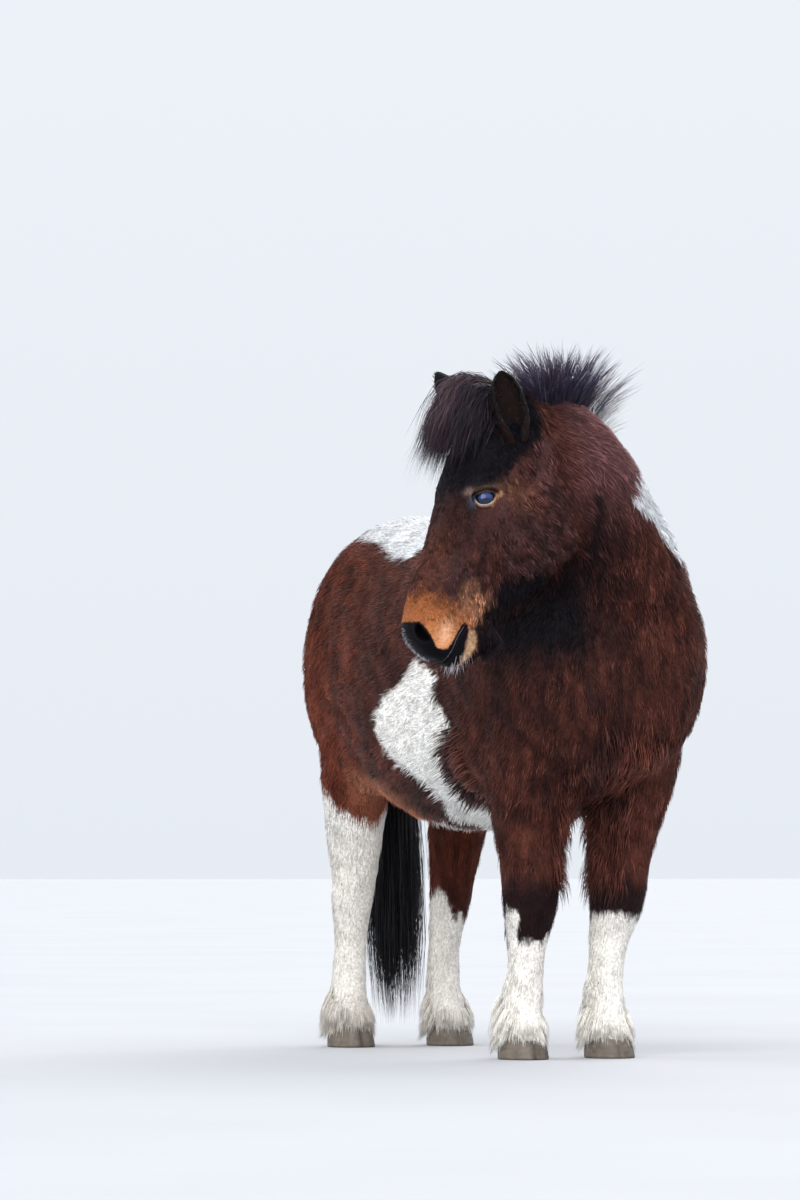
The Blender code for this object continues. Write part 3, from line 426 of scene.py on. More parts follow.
def unit(vectors):
    return vectors / np.maximum(np.linalg.norm(vectors, axis=-1, keepdims=True), 1e-9)


def mix(a, b, share):
    return a + (b - a) * share[:, None]


def lie(places, normals):
    """The way that the hair lies at points of the skin, along the skin."""
    x, y, z = places.T
    flat = np.ones(len(places))[:, None]
    out = np.sign(x)
    way = flat * (0, 1, -0.32)
    way[:, 0] += out * 0.35 * ramp(normals[:, 2], 0.6, 0.95)
    way = mix(way, flat * (0, 0.5, -0.9), ramp(-y, -0.12, 0.16))
    way = mix(way, flat * (0, -0.05, -1), ramp(-normals[:, 1], 0.45, 0.85) * ramp(-y, 0.1, 0.3))
    way = mix(way, flat * (0, 0.35, -0.95), ramp(y, 0.70, 0.98))
    belly = ramp(-normals[:, 2], 0.5, 0.9)
    way = mix(way, np.stack([-out * 0.35, np.ones(len(x)), -0.15 * np.ones(len(x))], 1), belly)
    centres = np.array([row[0] for row in NECK_ROWS])
    nearest = np.argmin(((places[:, None] - centres[None]) ** 2).sum(2), 1)
    forward = unit(np.gradient(centres, axis=0))[nearest]
    crest = np.array([row[2] for row in NECK_ROWS])[nearest]
    way = mix(way, -0.80 * forward - 0.60 * crest, neck_share(places))
    way = mix(way, flat * (0, 0.12, -1), leg_share(places))
    sides = np.abs(normals @ HEAD_ROWS[2])
    along, front, _ = in_head(places).T
    cheek = ramp(-along, -0.50, -0.34) * ramp(-front, -0.06, 0.10)
    on_head = HEAD_ROWS[0] * (0.9 - 0.35 * cheek)[:, None] - HEAD_ROWS[1] * (0.2 + 0.3 * sides + 0.55 * cheek)[:, None]
    way = mix(way, on_head, head_share(places))
    swirl = np.stack([waves(places, 0.12, s) for s in (1, 2, 3)], 1) * 0.13
    swirl += np.stack([waves(places, 0.04, s) for s in (4, 5, 6)], 1) * 0.06
    way = unit(way) + swirl * (1 - 0.5 * head_share(places) - 0.5 * leg_share(places))[:, None]
    way -= normals * (way * normals).sum(1, keepdims=True)
    return unit(way)


def coat_length(places):
    """How long the coat's hairs are."""
    x, y, z = places.T
    along, front, left = in_head(places).T
    length = 0.031 + 0.006 * ramp(-z, -0.75, -0.60) - 0.004 * ramp(y, 0.7, 0.9)
    length = length + 0.003 * neck_share(places)
    back_of_leg = ramp(y - np.where(y > 0.5, WHEELBASE + 0.0, -0.05), -0.01, 0.05)
    on_leg = 0.021 + 0.010 * ramp(z, 0.40, 0.55) + 0.014 * back_of_leg
    length = length + (on_leg - length) * leg_share(places)
    on_head = 0.0125 + 0.014 * ramp(-front, -0.03, 0.06) + 0.008 * ramp(-along, -0.24, -0.08)
    on_head = on_head + (0.0035 - on_head) * ramp(along, 0.50, 0.60) * ramp(front, -0.14, -0.06)
    on_head = on_head + 0.018 * ramp(along, 0.48, 0.54) * ramp(-front, 0.085, 0.12)
    around_eye = np.ones(len(places))
    for side in (-1, 1):
        gap = np.linalg.norm(in_head(places) - np.array((EYE_PLACE[0], EYE_PLACE[1], side * 0.10)), axis=1)
        around_eye = np.minimum(around_eye, ramp(gap, 0.025, 0.075))
    on_head = 0.0035 + (on_head - 0.0035) * around_eye
    return length + (on_head - length) * head_share(places)


def coat_depth(places):
    """How far the skin lies inside the coat's outline."""
    return 0.0012 + 0.28 * coat_length(places)


def edge_noise(places, size=0.035):
    return waves(places, size, 21) * 0.6 + waves(places, size / 3, 22) * 0.4


def inside(points, outline):
    """How far 2-D points are inside a polygon, in metres, and below 0 outside it."""
    points = np.asarray(points)
    count = len(outline)
    within = np.zeros(len(points), bool)
    nearest = np.full(len(points), 9.0)
    for i in range(count):
        a, b = np.array(outline[i]), np.array(outline[(i + 1) % count])
        crosses = (a[1] > points[:, 1]) != (b[1] > points[:, 1])
        slope = (b[0] - a[0]) / (b[1] - a[1] if b[1] != a[1] else 1e-9)
        within ^= crosses & (points[:, 0] < a[0] + slope * (points[:, 1] - a[1]))
        t = np.clip(((points - a) @ (b - a)) / ((b - a) @ (b - a)), 0, 1)
        nearest = np.minimum(nearest, np.linalg.norm(points - a - t[:, None] * (b - a), axis=1))
    return np.where(within, nearest, -nearest)


def line_distance(points, line):
    """The distance of 2-D points from a broken line."""
    nearest = np.full(len(points), 9.0)
    for a, b in zip(np.array(line), np.array(line)[1:]):
        t = np.clip(((points - a) @ (b - a)) / ((b - a) @ (b - a)), 0, 1)
        nearest = np.minimum(nearest, np.linalg.norm(points - a - t[:, None] * (b - a), axis=1))
    return nearest


# Outlines of the white patches, seen from the side as (back, height), or from above as (left, back).
FLANK_PATCH = (
    (0.245, 0.985), (0.290, 0.940), (0.330, 0.917), (0.406, 0.892), (0.448, 0.861), (0.466, 0.824), (0.446, 0.773),
    (0.412, 0.738), (0.372, 0.712), (0.328, 0.680), (0.318, 0.630), (0.370, 0.588), (0.380, 0.500), (0.000, 0.500),
    (-0.020, 0.628), (0.100, 0.630), (0.180, 0.640), (0.175, 0.694), (0.174, 0.726), (0.160, 0.767), (0.118, 0.803),
    (0.118, 0.835), (0.157, 0.863), (0.170, 0.902), (0.155, 0.931), (0.190, 0.958),
)
BACK_PATCH = (
    (-0.168, 0.845), (-0.180, 0.700), (-0.196, 0.593), (-0.212, 0.490), (-0.205, 0.445), (-0.160, 0.400),
    (-0.120, 0.310), (-0.050, 0.240), (0.060, 0.220), (0.150, 0.300), (0.190, 0.420), (0.235, 0.560),
    (0.180, 0.700), (0.090, 0.800), (0.000, 0.860), (-0.090, 0.880),
)
SHOULDER_PATCH = (
    (-0.380, 1.415), (-0.470, 1.400), (-0.480, 1.220), (-0.400, 1.185), (-0.300, 1.200), (-0.200, 1.235),
    (-0.100, 1.225), (0.000, 1.230), (0.060, 1.270), (0.110, 1.330), (0.100, 1.500), (-0.150, 1.600),
    (-0.270, 1.530), (-0.310, 1.470), (-0.345, 1.430),
)
# How far left the white of the shoulder begins, for points from low to high.
SHOULDER_EDGE = (
    (1.18, 1.20, 1.218, 1.228, 1.249, 1.282, 1.304, 1.315, 1.325, 1.340, 1.361, 1.390, 1.41, 1.43),
    (0.24, 0.19, 0.149, 0.126, 0.089, 0.050, 0.027, 0.003, -0.018, -0.036, -0.014, -0.013, 0.01, 0.03),
)
LEFT_FLANK_PATCH = (
    (0.330, 0.830), (0.400, 0.900), (0.500, 0.960), (0.560, 0.880), (0.540, 0.760), (0.470, 0.650), (0.420, 0.500),
    (0.180, 0.500), (0.240, 0.640), (0.300, 0.740),
)

BROWN = np.array((0.100, 0.031, 0.019))
RED_BROWN = np.array((0.175, 0.055, 0.032))
DARK_BROWN = np.array((0.040, 0.0150, 0.0115))
BLACK = np.array((0.0065, 0.0052, 0.0080))
WHITE = np.array((0.97, 0.95, 0.91))
CREAM = np.array((0.93, 0.895, 0.835))
ORANGE = np.array((0.80, 0.31, 0.125))
TAN = np.array((0.34, 0.15, 0.085))
DIRT = np.array((0.22, 0.17, 0.12))


def white_share(places):
    """1 where the coat is white, with ragged edges."""
    x, y, z = places.T
    rough = edge_noise(places) * 0.007
    low = 0.004 * waves(places, 0.02, 23)
    side_view, top_view = places[:, 1:3], places[:, :2]
    sharp = 0.007
    found = ramp(inside(side_view, FLANK_PATCH) + rough, -sharp, sharp) * (x < -0.02)
    found = found * np.maximum(ramp(y, 0.04, 0.08), ramp(z, 0.66, 0.70))
    found = np.maximum(found, ramp(inside(side_view, LEFT_FLANK_PATCH) + rough * 2, -sharp, sharp) * (x > -0.02))
    found = np.maximum(found, ramp(inside(top_view, BACK_PATCH) + rough, -sharp, sharp) * (z > 1.0) * (y > 0.15))
    shoulder = ramp(inside(side_view, SHOULDER_PATCH) + rough, -sharp, sharp)
    shoulder = shoulder * ramp(x - np.interp(z, *SHOULDER_EDGE) + rough, -0.006, 0.006)
    found = np.maximum(found, shoulder)
    fore, hind = y < 0.45, y >= 0.45
    right, left = x < 0, x >= 0
    right_fore = 0.285 + 0.080 * ramp(-x, 0.151, 0.170) + 0.02 * ramp(x, -0.10, -0.08)
    left_fore = 0.357 - 0.016 * ramp(x, 0.11, 0.16)
    right_hind = 0.580 + 0.100 * ramp(y, 0.80, 0.94) + 0.03 * ramp(x, -0.14, -0.09)
    left_hind = 0.345 + 0.060 * ramp(-x, -0.130, -0.095) - 0.03 * ramp(x, 0.15, 0.19)
    for height, where in (
        (right_fore, fore & right),
        (left_fore, fore & left),
        (right_hind, hind & right),
        (left_hind, hind & left),
    ):
        found = np.maximum(found, ramp(height - z + rough * 0.7 + low, -0.006, 0.006) * where)
    return found


# How far down the face the black of the forehead reaches, for points further back to further forward on the head.
BROW_LINE = ((-0.045, -0.022, -0.006, 0.020, 0.060, 0.092, 0.125), (0.00, 0.07, 0.125, 0.198, 0.245, 0.285, 0.290))
# Outlines on the head as seen from its side, as distances along the face and forward.
NOSE_BLACK = (
    (0.600, 0.150), (0.602, 0.096), (0.597, 0.083), (0.607, 0.071), (0.617, 0.056), (0.624, 0.042), (0.632, 0.032),
    (0.637, 0.020), (0.636, 0.008), (0.629, -0.003), (0.607, -0.008), (0.585, -0.0125), (0.562, -0.016), (0.556, -0.024),
    (0.558, -0.034), (0.574, -0.042), (0.593, -0.047), (0.613, -0.051), (0.634, -0.055), (0.655, -0.056), (0.700, -0.056),
    (0.700, 0.150),
)
LIP_TAN = (
    (0.563, -0.042), (0.574, -0.044), (0.593, -0.049), (0.613, -0.053), (0.634, -0.057), (0.645, -0.062),
    (0.640, -0.067), (0.626, -0.071), (0.604, -0.075), (0.580, -0.073), (0.561, -0.059),
)
# Black of the chin and lips, and painted shade under the jaw.
JAW_BLACK_AND_SHADE = (
    (0.425, -0.066), (0.470, -0.074), (0.510, -0.062), (0.529, -0.056), (0.555, -0.050), (0.566, -0.062),
    (0.580, -0.076), (0.604, -0.077), (0.627, -0.070), (0.680, -0.070), (0.680, -0.200), (0.500, -0.320),
    (0.340, -0.290), (0.350, -0.205), (0.370, -0.165), (0.393, -0.120),
)
MOUTH_LINE = ((0.720, -0.016), (0.646, -0.0175), (0.622, -0.021), (0.602, -0.021), (0.586, -0.0235), (0.566, -0.029), (0.557, -0.032))


def black_and_shade_share(places):
    """1 where the coat is black: knees, throat, forehead, brow and chin. Painted shade is put in as black too: under
    the jaw, in the crease behind the cheek, and at the throat.
    """
    x, y, z = places.T
    along, front, left = in_head(places).T
    rough = waves(places, 0.05, 31)
    fine = waves(places, 0.018, 32)
    knee_foot = np.where(x < 0, 0.28, 0.34)
    knee = ramp(z, knee_foot - 0.03, knee_foot) * ramp(-z + 0.008 * rough, -0.475, -0.400) * (y < 0.45)
    found = 0.86 * knee
    hock = ramp(z, 0.30, 0.33) * ramp(-z, -0.47, -0.36) * (y >= 0.45) * 0.5
    found = np.maximum(found, hock)
    on_head = head_share(places)
    crown = ramp(np.interp(front, *BROW_LINE) - along + 0.006 * fine, -0.014, 0.018) * ramp(front, -0.11, -0.04)
    side_view = head_view(places)
    # Black of the chin, and painted shade under the jaw.
    jaw = ramp(inside(side_view, JAW_BLACK_AND_SHADE) + 0.003 * fine, -0.007, 0.007) * 0.97
    found = np.maximum(found, np.maximum(crown, jaw) * on_head)
    # Darker along the crease behind the cheek: painted shade.
    crease = np.exp(-((line_distance(side_view, CHEEK_EDGE) / 0.016) ** 2)) * ramp(-np.abs(left), -0.16, -0.12)
    found = np.maximum(found, 0.8 * crease * ramp(-x, 0.0, 0.1))
    # Near black on the throat and the lower front of the neck: partly dark hair, partly painted shade.
    throat = ramp(-x, 0.07, 0.15) * ramp(z, 0.90, 1.02) * ramp(-z, -1.26, -1.14) * ramp(-y, 0.10, 0.20)
    found = np.maximum(found, 0.97 * throat * (1 - on_head))
    return np.clip(found, 0, 1)


CHEEK_EDGE = ((0.16, -0.215), (0.215, -0.242), (0.300, -0.272), (0.370, -0.250), (0.430, -0.200))


def head_view(places):
    """Points of the head as seen from its side: along the face, and forward of it."""
    return in_head(places)[:, :2]


def nose_black(places):
    """1 on the bare dark skin of the nostrils, the tip of the nose and the lips."""
    edge = inside(head_view(places), NOSE_BLACK) + 0.0008 * waves(places, 0.012, 33)
    found = ramp(edge, -0.0012, 0.0022)
    for side in (-1, 1):
        centre, axes = nostril_axes(side)
        u, v, w = ((places - centre) @ axes.T).T
        ring = np.sqrt((u / 0.0235) ** 2 + ((v - 9.0 * u * u) / 0.0105) ** 2)
        found = np.maximum(found, ramp(-ring, -1.35, -1.15) * (w < 0.04) * (w > -0.09))
    return found * head_share(places)


def coat_colour(places):
    """The coat's colour at points of the skin, with painted light and shade laid over it in places."""
    x, y, z = places.T
    along, front, left = in_head(places).T
    on_head = head_share(places)
    drawn = places * (1, 1, 0.4)
    lightness = 0.45 + 0.16 * waves(drawn, 0.16, 41) + 0.20 * waves(drawn, 0.035, 42)
    # Lighter towards the rump as painted light, and darker on the chest's front as painted shade.
    lightness = lightness + 0.40 * ramp(y, 0.45, 0.80) - 0.28 * ramp(-y, 0.05, 0.25) * ramp(-x, -0.08, 0.10)
    # Lighter along the top of the neck: mostly painted rim light.
    lightness = lightness + 0.35 * ramp(z, 1.20, 1.45) * neck_share(places)
    # Darker on the lower forward flank: painted shade.
    lightness = lightness - 0.45 * ramp(-z, -1.02, -0.80) * ramp(-y, -0.55, -0.20) * ramp(y, 0.05, 0.15)
    lightness = lightness + 0.22 * ramp(-z, -0.85, -0.70) * ramp(-y, -0.15, -0.05)
    colour = mix(DARK_BROWN[None].repeat(len(places), 0), BROWN, np.clip(lightness * 1.6, 0, 1))
    colour = mix(colour, RED_BROWN, np.clip(lightness * 1.3 - 0.70, 0, 1))
    colour = mix(colour * (1.0, 1.0, 1.15), colour * (1.30, 1.02, 0.90), ramp(y, 0.35, 0.70))
    # Darker over the top of the hindquarters: painted shade.
    colour = colour * (1 - 0.30 * ramp(z, 0.95, 1.15) * ramp(y, 0.40, 0.65))[:, None]
    # Darker on the upper left hind leg: painted shade.
    colour = colour * (1 - 0.35 * ramp(-z, -0.72, -0.60) * (x > 0) * (y > 0.45))[:, None]
    # A lighter purple brown along the crest: mostly painted rim light.
    crest = ramp(z, 1.24, 1.42) * (1 - on_head) * ramp(x, -0.26, -0.14)
    # Lighter and redder on the far side of the chest: painted rim light.
    far_side = ramp(x, 0.14, 0.26) * ramp(z, 0.85, 1.0) * ramp(-y, -0.30, -0.05)
    colour = mix(colour, np.array((0.17, 0.080, 0.066)), 0.60 * far_side)
    colour = mix(colour, np.array((0.20, 0.088, 0.092)), 0.75 * crest)
    cheek = mix(colour, np.array((0.088, 0.041, 0.041)), 0.40 + 0.15 * waves(drawn, 0.05, 45))
    colour = mix(colour, cheek, on_head)
    groin = ramp(-z, -0.78, -0.66) * ramp(y, 0.42, 0.60) * ramp(-y, -0.86, -0.72) * (x < 0.05)
    groin = groin * ramp(x, -0.26, -0.20)
    colour = mix(colour, np.array((0.58, 0.24, 0.14)), 0.9 * groin)
    brow = ramp(along, 0.20, 0.27) * ramp(-along, -0.46, -0.34) * ramp(front, 0.02, 0.06) * on_head
    colour = colour * (1 - 0.42 * brow)[:, None]
    bridge = ramp(front, 0.05, 0.09) * ramp(along, 0.30, 0.45) * on_head
    colour = mix(colour, RED_BROWN * 0.75, 0.5 * bridge)
    behind_eye = np.exp(-(((along - 0.235) / 0.030) ** 2) - ((front + 0.020) / 0.035) ** 2) * (np.abs(left) > 0.05)
    colour = mix(colour, TAN * 0.8, 0.30 * behind_eye * on_head)
    drift = 0.008 * waves(places, 0.03, 43)
    side_tan = ramp(along + drift, 0.440, 0.500) * ramp(front, -0.115, -0.085) * ramp(-front, -0.03, 0.0)
    colour = mix(colour, TAN * 1.05, 0.90 * side_tan * on_head)
    warm = ramp(along + drift, 0.505, 0.555) * ramp(front, -0.055, -0.020)
    colour = mix(colour, ORANGE * (0.60, 0.50, 0.40), 0.6 * warm * on_head)
    muzzle = ramp(along + drift, 0.535, 0.575) * ramp(front, -0.038, -0.015)
    muzzle = muzzle * (1 - 0.65 * ramp(front, 0.062, 0.092) * ramp(-along, -0.605, -0.575))
    bright = ramp(along, 0.572, 0.620) * ramp(-front, -0.080, -0.036)
    colour = mix(colour, mix(ORANGE[None] * (0.52, 0.46, 0.40), ORANGE, bright), muzzle * on_head)
    pale_spot = np.exp(-(((along - 0.600) / 0.032) ** 2) - ((front - 0.016) / 0.019) ** 2)
    colour = mix(colour, np.array((0.90, 0.50, 0.30)), 0.85 * pale_spot * on_head)
    colour = mix(colour, BLACK, black_and_shade_share(places))
    strip = ramp(inside(head_view(places), LIP_TAN), -0.003, 0.003)
    strip = strip * (0.74 + 0.16 * waves(places, 0.008, 46))
    colour = mix(colour, np.array((0.68, 0.45, 0.26)), strip * on_head)
    white = white_share(places)
    pale = mix(WHITE[None].repeat(len(places), 0), CREAM, ramp(-z, -0.62, -0.50))
    # Greyer and bluer where the white lies high on the back and shoulder: painted shade.
    pale = mix(pale, pale * (0.80, 0.84, 0.90), ramp(z, 1.10, 1.24))
    # Greyer towards the hooves in random patches, and on the hind legs, most low on the right hind.
    greyed_share = ramp(-z, -0.11, -0.03) * (0.22 + 0.30 * waves(places, 0.04, 44))
    greyed_share = greyed_share + (0.12 + 0.25 * ramp(-z, -0.20, -0.06) * (x < 0)) * (y > 0.5)
    pale = mix(pale, DIRT, np.clip(greyed_share, 0, 0.7))
    colour = mix(colour, pale, white)
    colour = mix(colour, BLACK * 0.7, nose_black(places))
    mouth = line_distance(head_view(places), [(a, f + 0.0030) for a, f in MOUTH_LINE])
    rim = ramp(-mouth, -0.0022, -0.0008) * ramp(along, 0.560, 0.572) * ramp(-along, -0.672, -0.660)
    colour = mix(colour, np.array((0.46, 0.48, 0.56)), 0.75 * rim * on_head)
    return np.clip(eye_surround(places, colour), 0, 1)


# The skin: refined on the head, sunk by the coat's depth, and shaped round the eyes, the nostrils and the mouth.

LID_FACING = (0.0, 0.26, 0.965)
LID_SLANT = (0.504, 0.864, 0.0)
LID_FRONT = 0.0232
LID_REAR = 0.0262
UPPER_LID = 0.0128
LOWER_LID = 0.0148
NOSTRIL = (0.626, 0.072, 0.058)
NOSTRIL_SLANT = (0.50, -0.86, 0.0)


def eye_axes(side):
    """The eye's place, and its axes: to its front corner, up and out."""
    along, forward, left = EYE_PLACE
    out = head_way(LID_FACING[0], LID_FACING[1], side * LID_FACING[2]).normalized()
    front = head_way(*LID_SLANT)
    front = (front - out * front.dot(out)).normalized()
    up = head_way(-LID_SLANT[1], LID_SLANT[0], 0)
    up = (up - out * up.dot(out) - front * up.dot(front)).normalized()
    return np.array(head_point(along, forward, side * left)), np.array([front, up, out])


def refine_head(obj):
    """Splits the skin's faces on the head once, and round its features twice."""
    mesh = bmesh.new()
    mesh.from_mesh(obj.data)
    for level in range(2):
        mesh.verts.ensure_lookup_table()
        places = np.array([v.co for v in mesh.verts])
        head = in_head(places)
        chosen = head_share(places) > 0.5
        if level:
            near = (head[:, 0] > 0.53)
            for side in (-1, 1):
                centre, axes = eye_axes(side)
                near |= np.linalg.norm(places - centre, axis=1) < 0.062
            chosen &= near
        edges = [e for e in mesh.edges if chosen[e.verts[0].index] and chosen[e.verts[1].index]]
        bmesh.ops.subdivide_edges(mesh, edges=edges, cuts=1, use_grid_fill=True)
        fresh = [v for v in mesh.verts if v.index < 0 or v.index >= len(places)]
        mesh.verts.index_update()
        mesh.verts.ensure_lookup_table()
        around = set(fresh)
        for _ in range(2):
            bmesh.ops.smooth_vert(mesh, verts=list(around), factor=0.5, use_axis_x=True, use_axis_y=True, use_axis_z=True)
    bmesh.ops.triangulate(mesh, faces=mesh.faces)
    mesh.to_mesh(obj.data)
    mesh.free()


def nostril_axes(side):
    out = head_way(0.30, 0.35, side).normalized()
    slant = head_way(*NOSTRIL_SLANT)
    slant = (slant - out * slant.dot(out)).normalized()
    return np.array(head_point(NOSTRIL[0], NOSTRIL[1], side * NOSTRIL[2])), np.array([slant, out.cross(slant) * side, out])


def shape_skin(obj):
    """Sinks the skin under the coat, and shapes the face."""
    places, normals = places_of(obj.data), normals_of(obj.data)
    places = places - normals * coat_depth(places)[:, None]
    head = in_head(places)
    on_head = head_share(places)
    shift = np.zeros(len(places))
    mouth = line_distance(head[:, :2], MOUTH_LINE)
    shift -= 0.0055 * np.exp(-((mouth / 0.0022) ** 2)) * on_head
    shift += 0.0016 * np.exp(-(((mouth - 0.008) / 0.005) ** 2)) * on_head
    shift -= 0.003 * np.exp(-((head[:, 0] - 0.15) / 0.03) ** 2 - ((np.abs(head[:, 2]) - 0.085) / 0.03) ** 2) * on_head
    places = places + normals * shift[:, None]
    for side in (-1, 1):
        centre, axes = nostril_axes(side)
        u, v, w = ((places - centre) @ axes.T).T
        v = v - 9.0 * u * u
        ring = np.sqrt((u / 0.0235) ** 2 + (v / 0.0105) ** 2)
        near = (np.abs(w) < 0.035) & (on_head > 0.5)
        sunk = (0.024 * ramp(-ring, -1.02, -0.45) + 0.004 * ramp(-ring, -1.1, -0.9)) * near
        rim = 0.0030 * np.exp(-(((ring - 1.35) / 0.28) ** 2)) * near
        places = places + axes[2] * (rim - sunk)[:, None] + axes[1] * (0.010 * ramp(-ring, -1.0, -0.4) * near)[:, None]
        axes = eye_axes(side)[1]
        (x, y, z), gap = (lambda found, far: (found.T, far))(*from_eye(places, side))
        dome = np.sqrt(np.maximum(EYE_RADIUS**2 - x * x - y * y, 0)) - 0.004
        share = ramp(-gap, -0.012, -0.006) * (z > 0)
        places = places + axes[2] * ((np.minimum(z, dome) - z) * share)[:, None]
    obj.data.vertices.foreach_set("co", places.ravel())
    obj.data.update()


def mesh_of(name, places, *face_sets):
    """A new object from an array of places, and arrays of faces with rows of one length each."""
    data = bpy.data.meshes.new(name)
    data.vertices.add(len(places))
    data.vertices.foreach_set("co", np.ascontiguousarray(places, np.float32).ravel())
    loops = np.concatenate([f.ravel() for f in face_sets]).astype(np.int32)
    counts = np.concatenate([np.full(len(f), f.shape[1]) for f in face_sets])
    data.loops.add(len(loops))
    data.loops.foreach_set("vertex_index", loops)
    data.polygons.add(len(counts))
    data.polygons.foreach_set("loop_start", np.concatenate([[0], np.cumsum(counts)[:-1]]).astype(np.int32))
    data.polygons.foreach_set("use_smooth", np.ones(len(counts), bool))
    data.update(calc_edges=True)
    made = bpy.data.objects.new(name, data)
    bpy.context.collection.objects.link(made)
    return made


def paint(obj, colours, name="coat"):
    layer = obj.data.color_attributes.new(name, "FLOAT_COLOR", "POINT")
    rows = np.concatenate([colours, np.ones((len(colours), 1))], 1).astype(np.float32)
    layer.data.foreach_set("color", rows.ravel())


def grid_faces(rows, columns, closed=True):
    """Faces between rows of points, each row with the same number of columns."""
    r, c = np.meshgrid(np.arange(rows - 1), np.arange(columns if closed else columns - 1), indexing="ij")
    n = (c + 1) % columns
    return np.stack([r * columns + c, r * columns + n, (r + 1) * columns + n, (r + 1) * columns + c], -1).reshape(-1, 4)


def lid_edge(angle):
    """The edge of the eye's opening, at an angle from its front corner, in the eye's own axes."""
    c, s = np.cos(angle), np.sin(angle)
    ahead = c > 0
    x = np.where(ahead, LID_FRONT * np.abs(c) ** 0.72, LID_REAR * c)
    bulge = np.abs(s) ** np.where(ahead, 0.80, 1.32)
    return x, 0.0045 * c * c + np.sign(s) * bulge * np.where(s > 0, UPPER_LID, LOWER_LID)


def from_eye(places, side):
    """Points in the axes of one eye, and how far they are outside its opening."""
    centre, axes = eye_axes(side)
    found = (places - centre) @ axes.T
    outline = np.stack(lid_edge(np.radians(np.arange(0, 360, 12))), 1)
    near = (np.abs(found[:, :2]).max(1) < 0.12) & (np.abs(found[:, 2]) < 0.09)
    gap = np.ones(len(places))
    gap[near] = -inside(found[near, :2], outline)
    return found, gap


def eye_gap(places):
    return np.minimum(from_eye(places, 1)[1], from_eye(places, -1)[1])


def lids(side, letter, tree):
    """The lids: rings of points from the opening's edge out over the eye until they meet the skin."""
    centre, axes = eye_axes(side)
    steps = (-0.0030, -0.0012, 0.0002, 0.0012, 0.0024, 0.0038, 0.0054, 0.0070, 0.0086, 0.0104, 0.0126, 0.0150, 0.018)
    angles = np.radians(np.arange(0, 360, 5))
    edge_x, edge_y = lid_edge(angles)
    rows = []
    for step in steps:
        x, y = edge_x + step * np.cos(angles), edge_y + step * np.sin(angles)
        fold = 0.0020 * math.exp(-(((step - 0.0080) / 0.0018) ** 2)) * ramp(np.sin(angles), 0.1, 0.5)
        radius = EYE_RADIUS + 0.0004 + 0.0034 * float(ramp(step, -0.001, 0.0035)) - fold
        z = np.sqrt(np.maximum(radius**2 - x * x - y * y, 0.0165**2))
        ring = centre + np.stack([x, y, z], 1) @ axes
        share = float(ramp(step, 0.005, 0.0135))
        for k, point in enumerate(ring):
            hit = tree.ray_cast(Vector(point + axes[2] * 0.05), Vector(-axes[2]), 0.12)[0]
            if hit is not None:
                ring[k] = point + (np.array(hit) - axes[2] * 0.0012 - point) * share
        rows.append(ring)
    faces = grid_faces(len(steps), len(angles))
    places = np.concatenate(rows)
    made = mesh_of("lids_" + letter, places, faces if side > 0 else faces[:, ::-1])
    # The lids are painted darker than the coat, as painted shade like the skin under the tufts.
    paint(made, coat_colour(places) * 0.85)
    return made


def lid_density(places):
    return 170000 * ramp(eye_gap(places), 0.0035, 0.0065)


def eye_surround(places, colour):
    """The colours of the lids and of the coat round the eyes, with painted shade above the upper lid."""
    for side in (-1, 1):
        (u, v, w), gap = (lambda found, far: (found.T, far))(*from_eye(places, side))
        flat = np.stack([u, v], 1)
        near = ramp(-gap, -0.080, -0.060) * (w > -0.02)
        below = ramp(-v, -0.004, 0.006)

        def spot(centre, size, tint, weight):
            far = ((u - centre[0]) / size[0]) ** 2 + ((v - centre[1]) / size[1]) ** 2
            return mix(colour, np.array(tint), weight * np.exp(-far) * near)

        # A dark band above the upper lid: painted shade in the brow's crease.
        colour = spot((-0.025, 0.042), (0.045, 0.008), (0.009, 0.009, 0.012), 0.85)
        colour = spot((-0.002, 0.0225), (0.033, 0.0055), (0.135, 0.090, 0.065), 0.80)
        streak = line_distance(flat, ((-0.050, 0.010), (-0.098, 0.026)))
        colour = mix(colour, TAN * 0.60, 0.35 * ramp(-streak, -0.022, -0.006) * near)
        corner = line_distance(flat, ((-0.013, -0.0170), (-0.030, 0.000), (-0.039, 0.005)))
        colour = mix(colour, np.array((0.46, 0.25, 0.13)), 0.85 * ramp(-corner, -0.0075, -0.0035) * near)
        lower = ramp(-gap, -0.0080, -0.0050) * below * ramp(u, -0.030, -0.015) * ramp(-u, -0.034, -0.026)
        colour = mix(colour, np.array((0.36, 0.17, 0.085)), 0.85 * lower)
        colour = spot((0.0325, -0.002), (0.0080, 0.016), (0.085, 0.108, 0.150), 0.90)
        colour = spot((0.036, 0.022), (0.0090, 0.0085), (0.30, 0.19, 0.16), 0.75)
        rim = ramp(-gap, -0.0028, -0.0012) * near
        colour = mix(colour, np.array((0.060, 0.062, 0.070)), 0.9 * rim * (1 - below))
        colour = mix(colour, np.array((0.42, 0.46, 0.52)), 0.85 * rim * below * ramp(u, -0.024, -0.014))
        colour = mix(colour, np.array((0.008, 0.008, 0.010)), ramp(-gap, -0.0004, 0.0006) * near)
    return colour


def lashes(side, letter):
    """The lashes of the upper lid."""
    centre, axes = eye_axes(side)
    angles = np.radians(rng.uniform(25, 150, 60))
    x, y = lid_edge(angles)
    z = np.sqrt(np.maximum((EYE_RADIUS + 0.001) ** 2 - x * x - y * y, 0.0165**2))
    roots = np.stack([x, y, z], 1)
    out = np.stack([0.35 * np.cos(angles) + 0.15, -0.25 + 0.2 * rng.random(60), np.ones(60)], 1)
    size = rng.uniform(0.006, 0.011, 60)[:, None]
    bends = roots + unit(out) * size * 0.6
    tips = roots + unit(out + (0.25, -0.05, 0)) * size
    paths = arcs(roots, bends, tips, 4) @ axes + centre
    colours = np.full((60, 3), 0.012)
    return strands("lashes_" + letter, paths, np.full(60, 0.0006), axes[2][None].repeat(60, 0), colours, unwrap(paths[:, 0]))


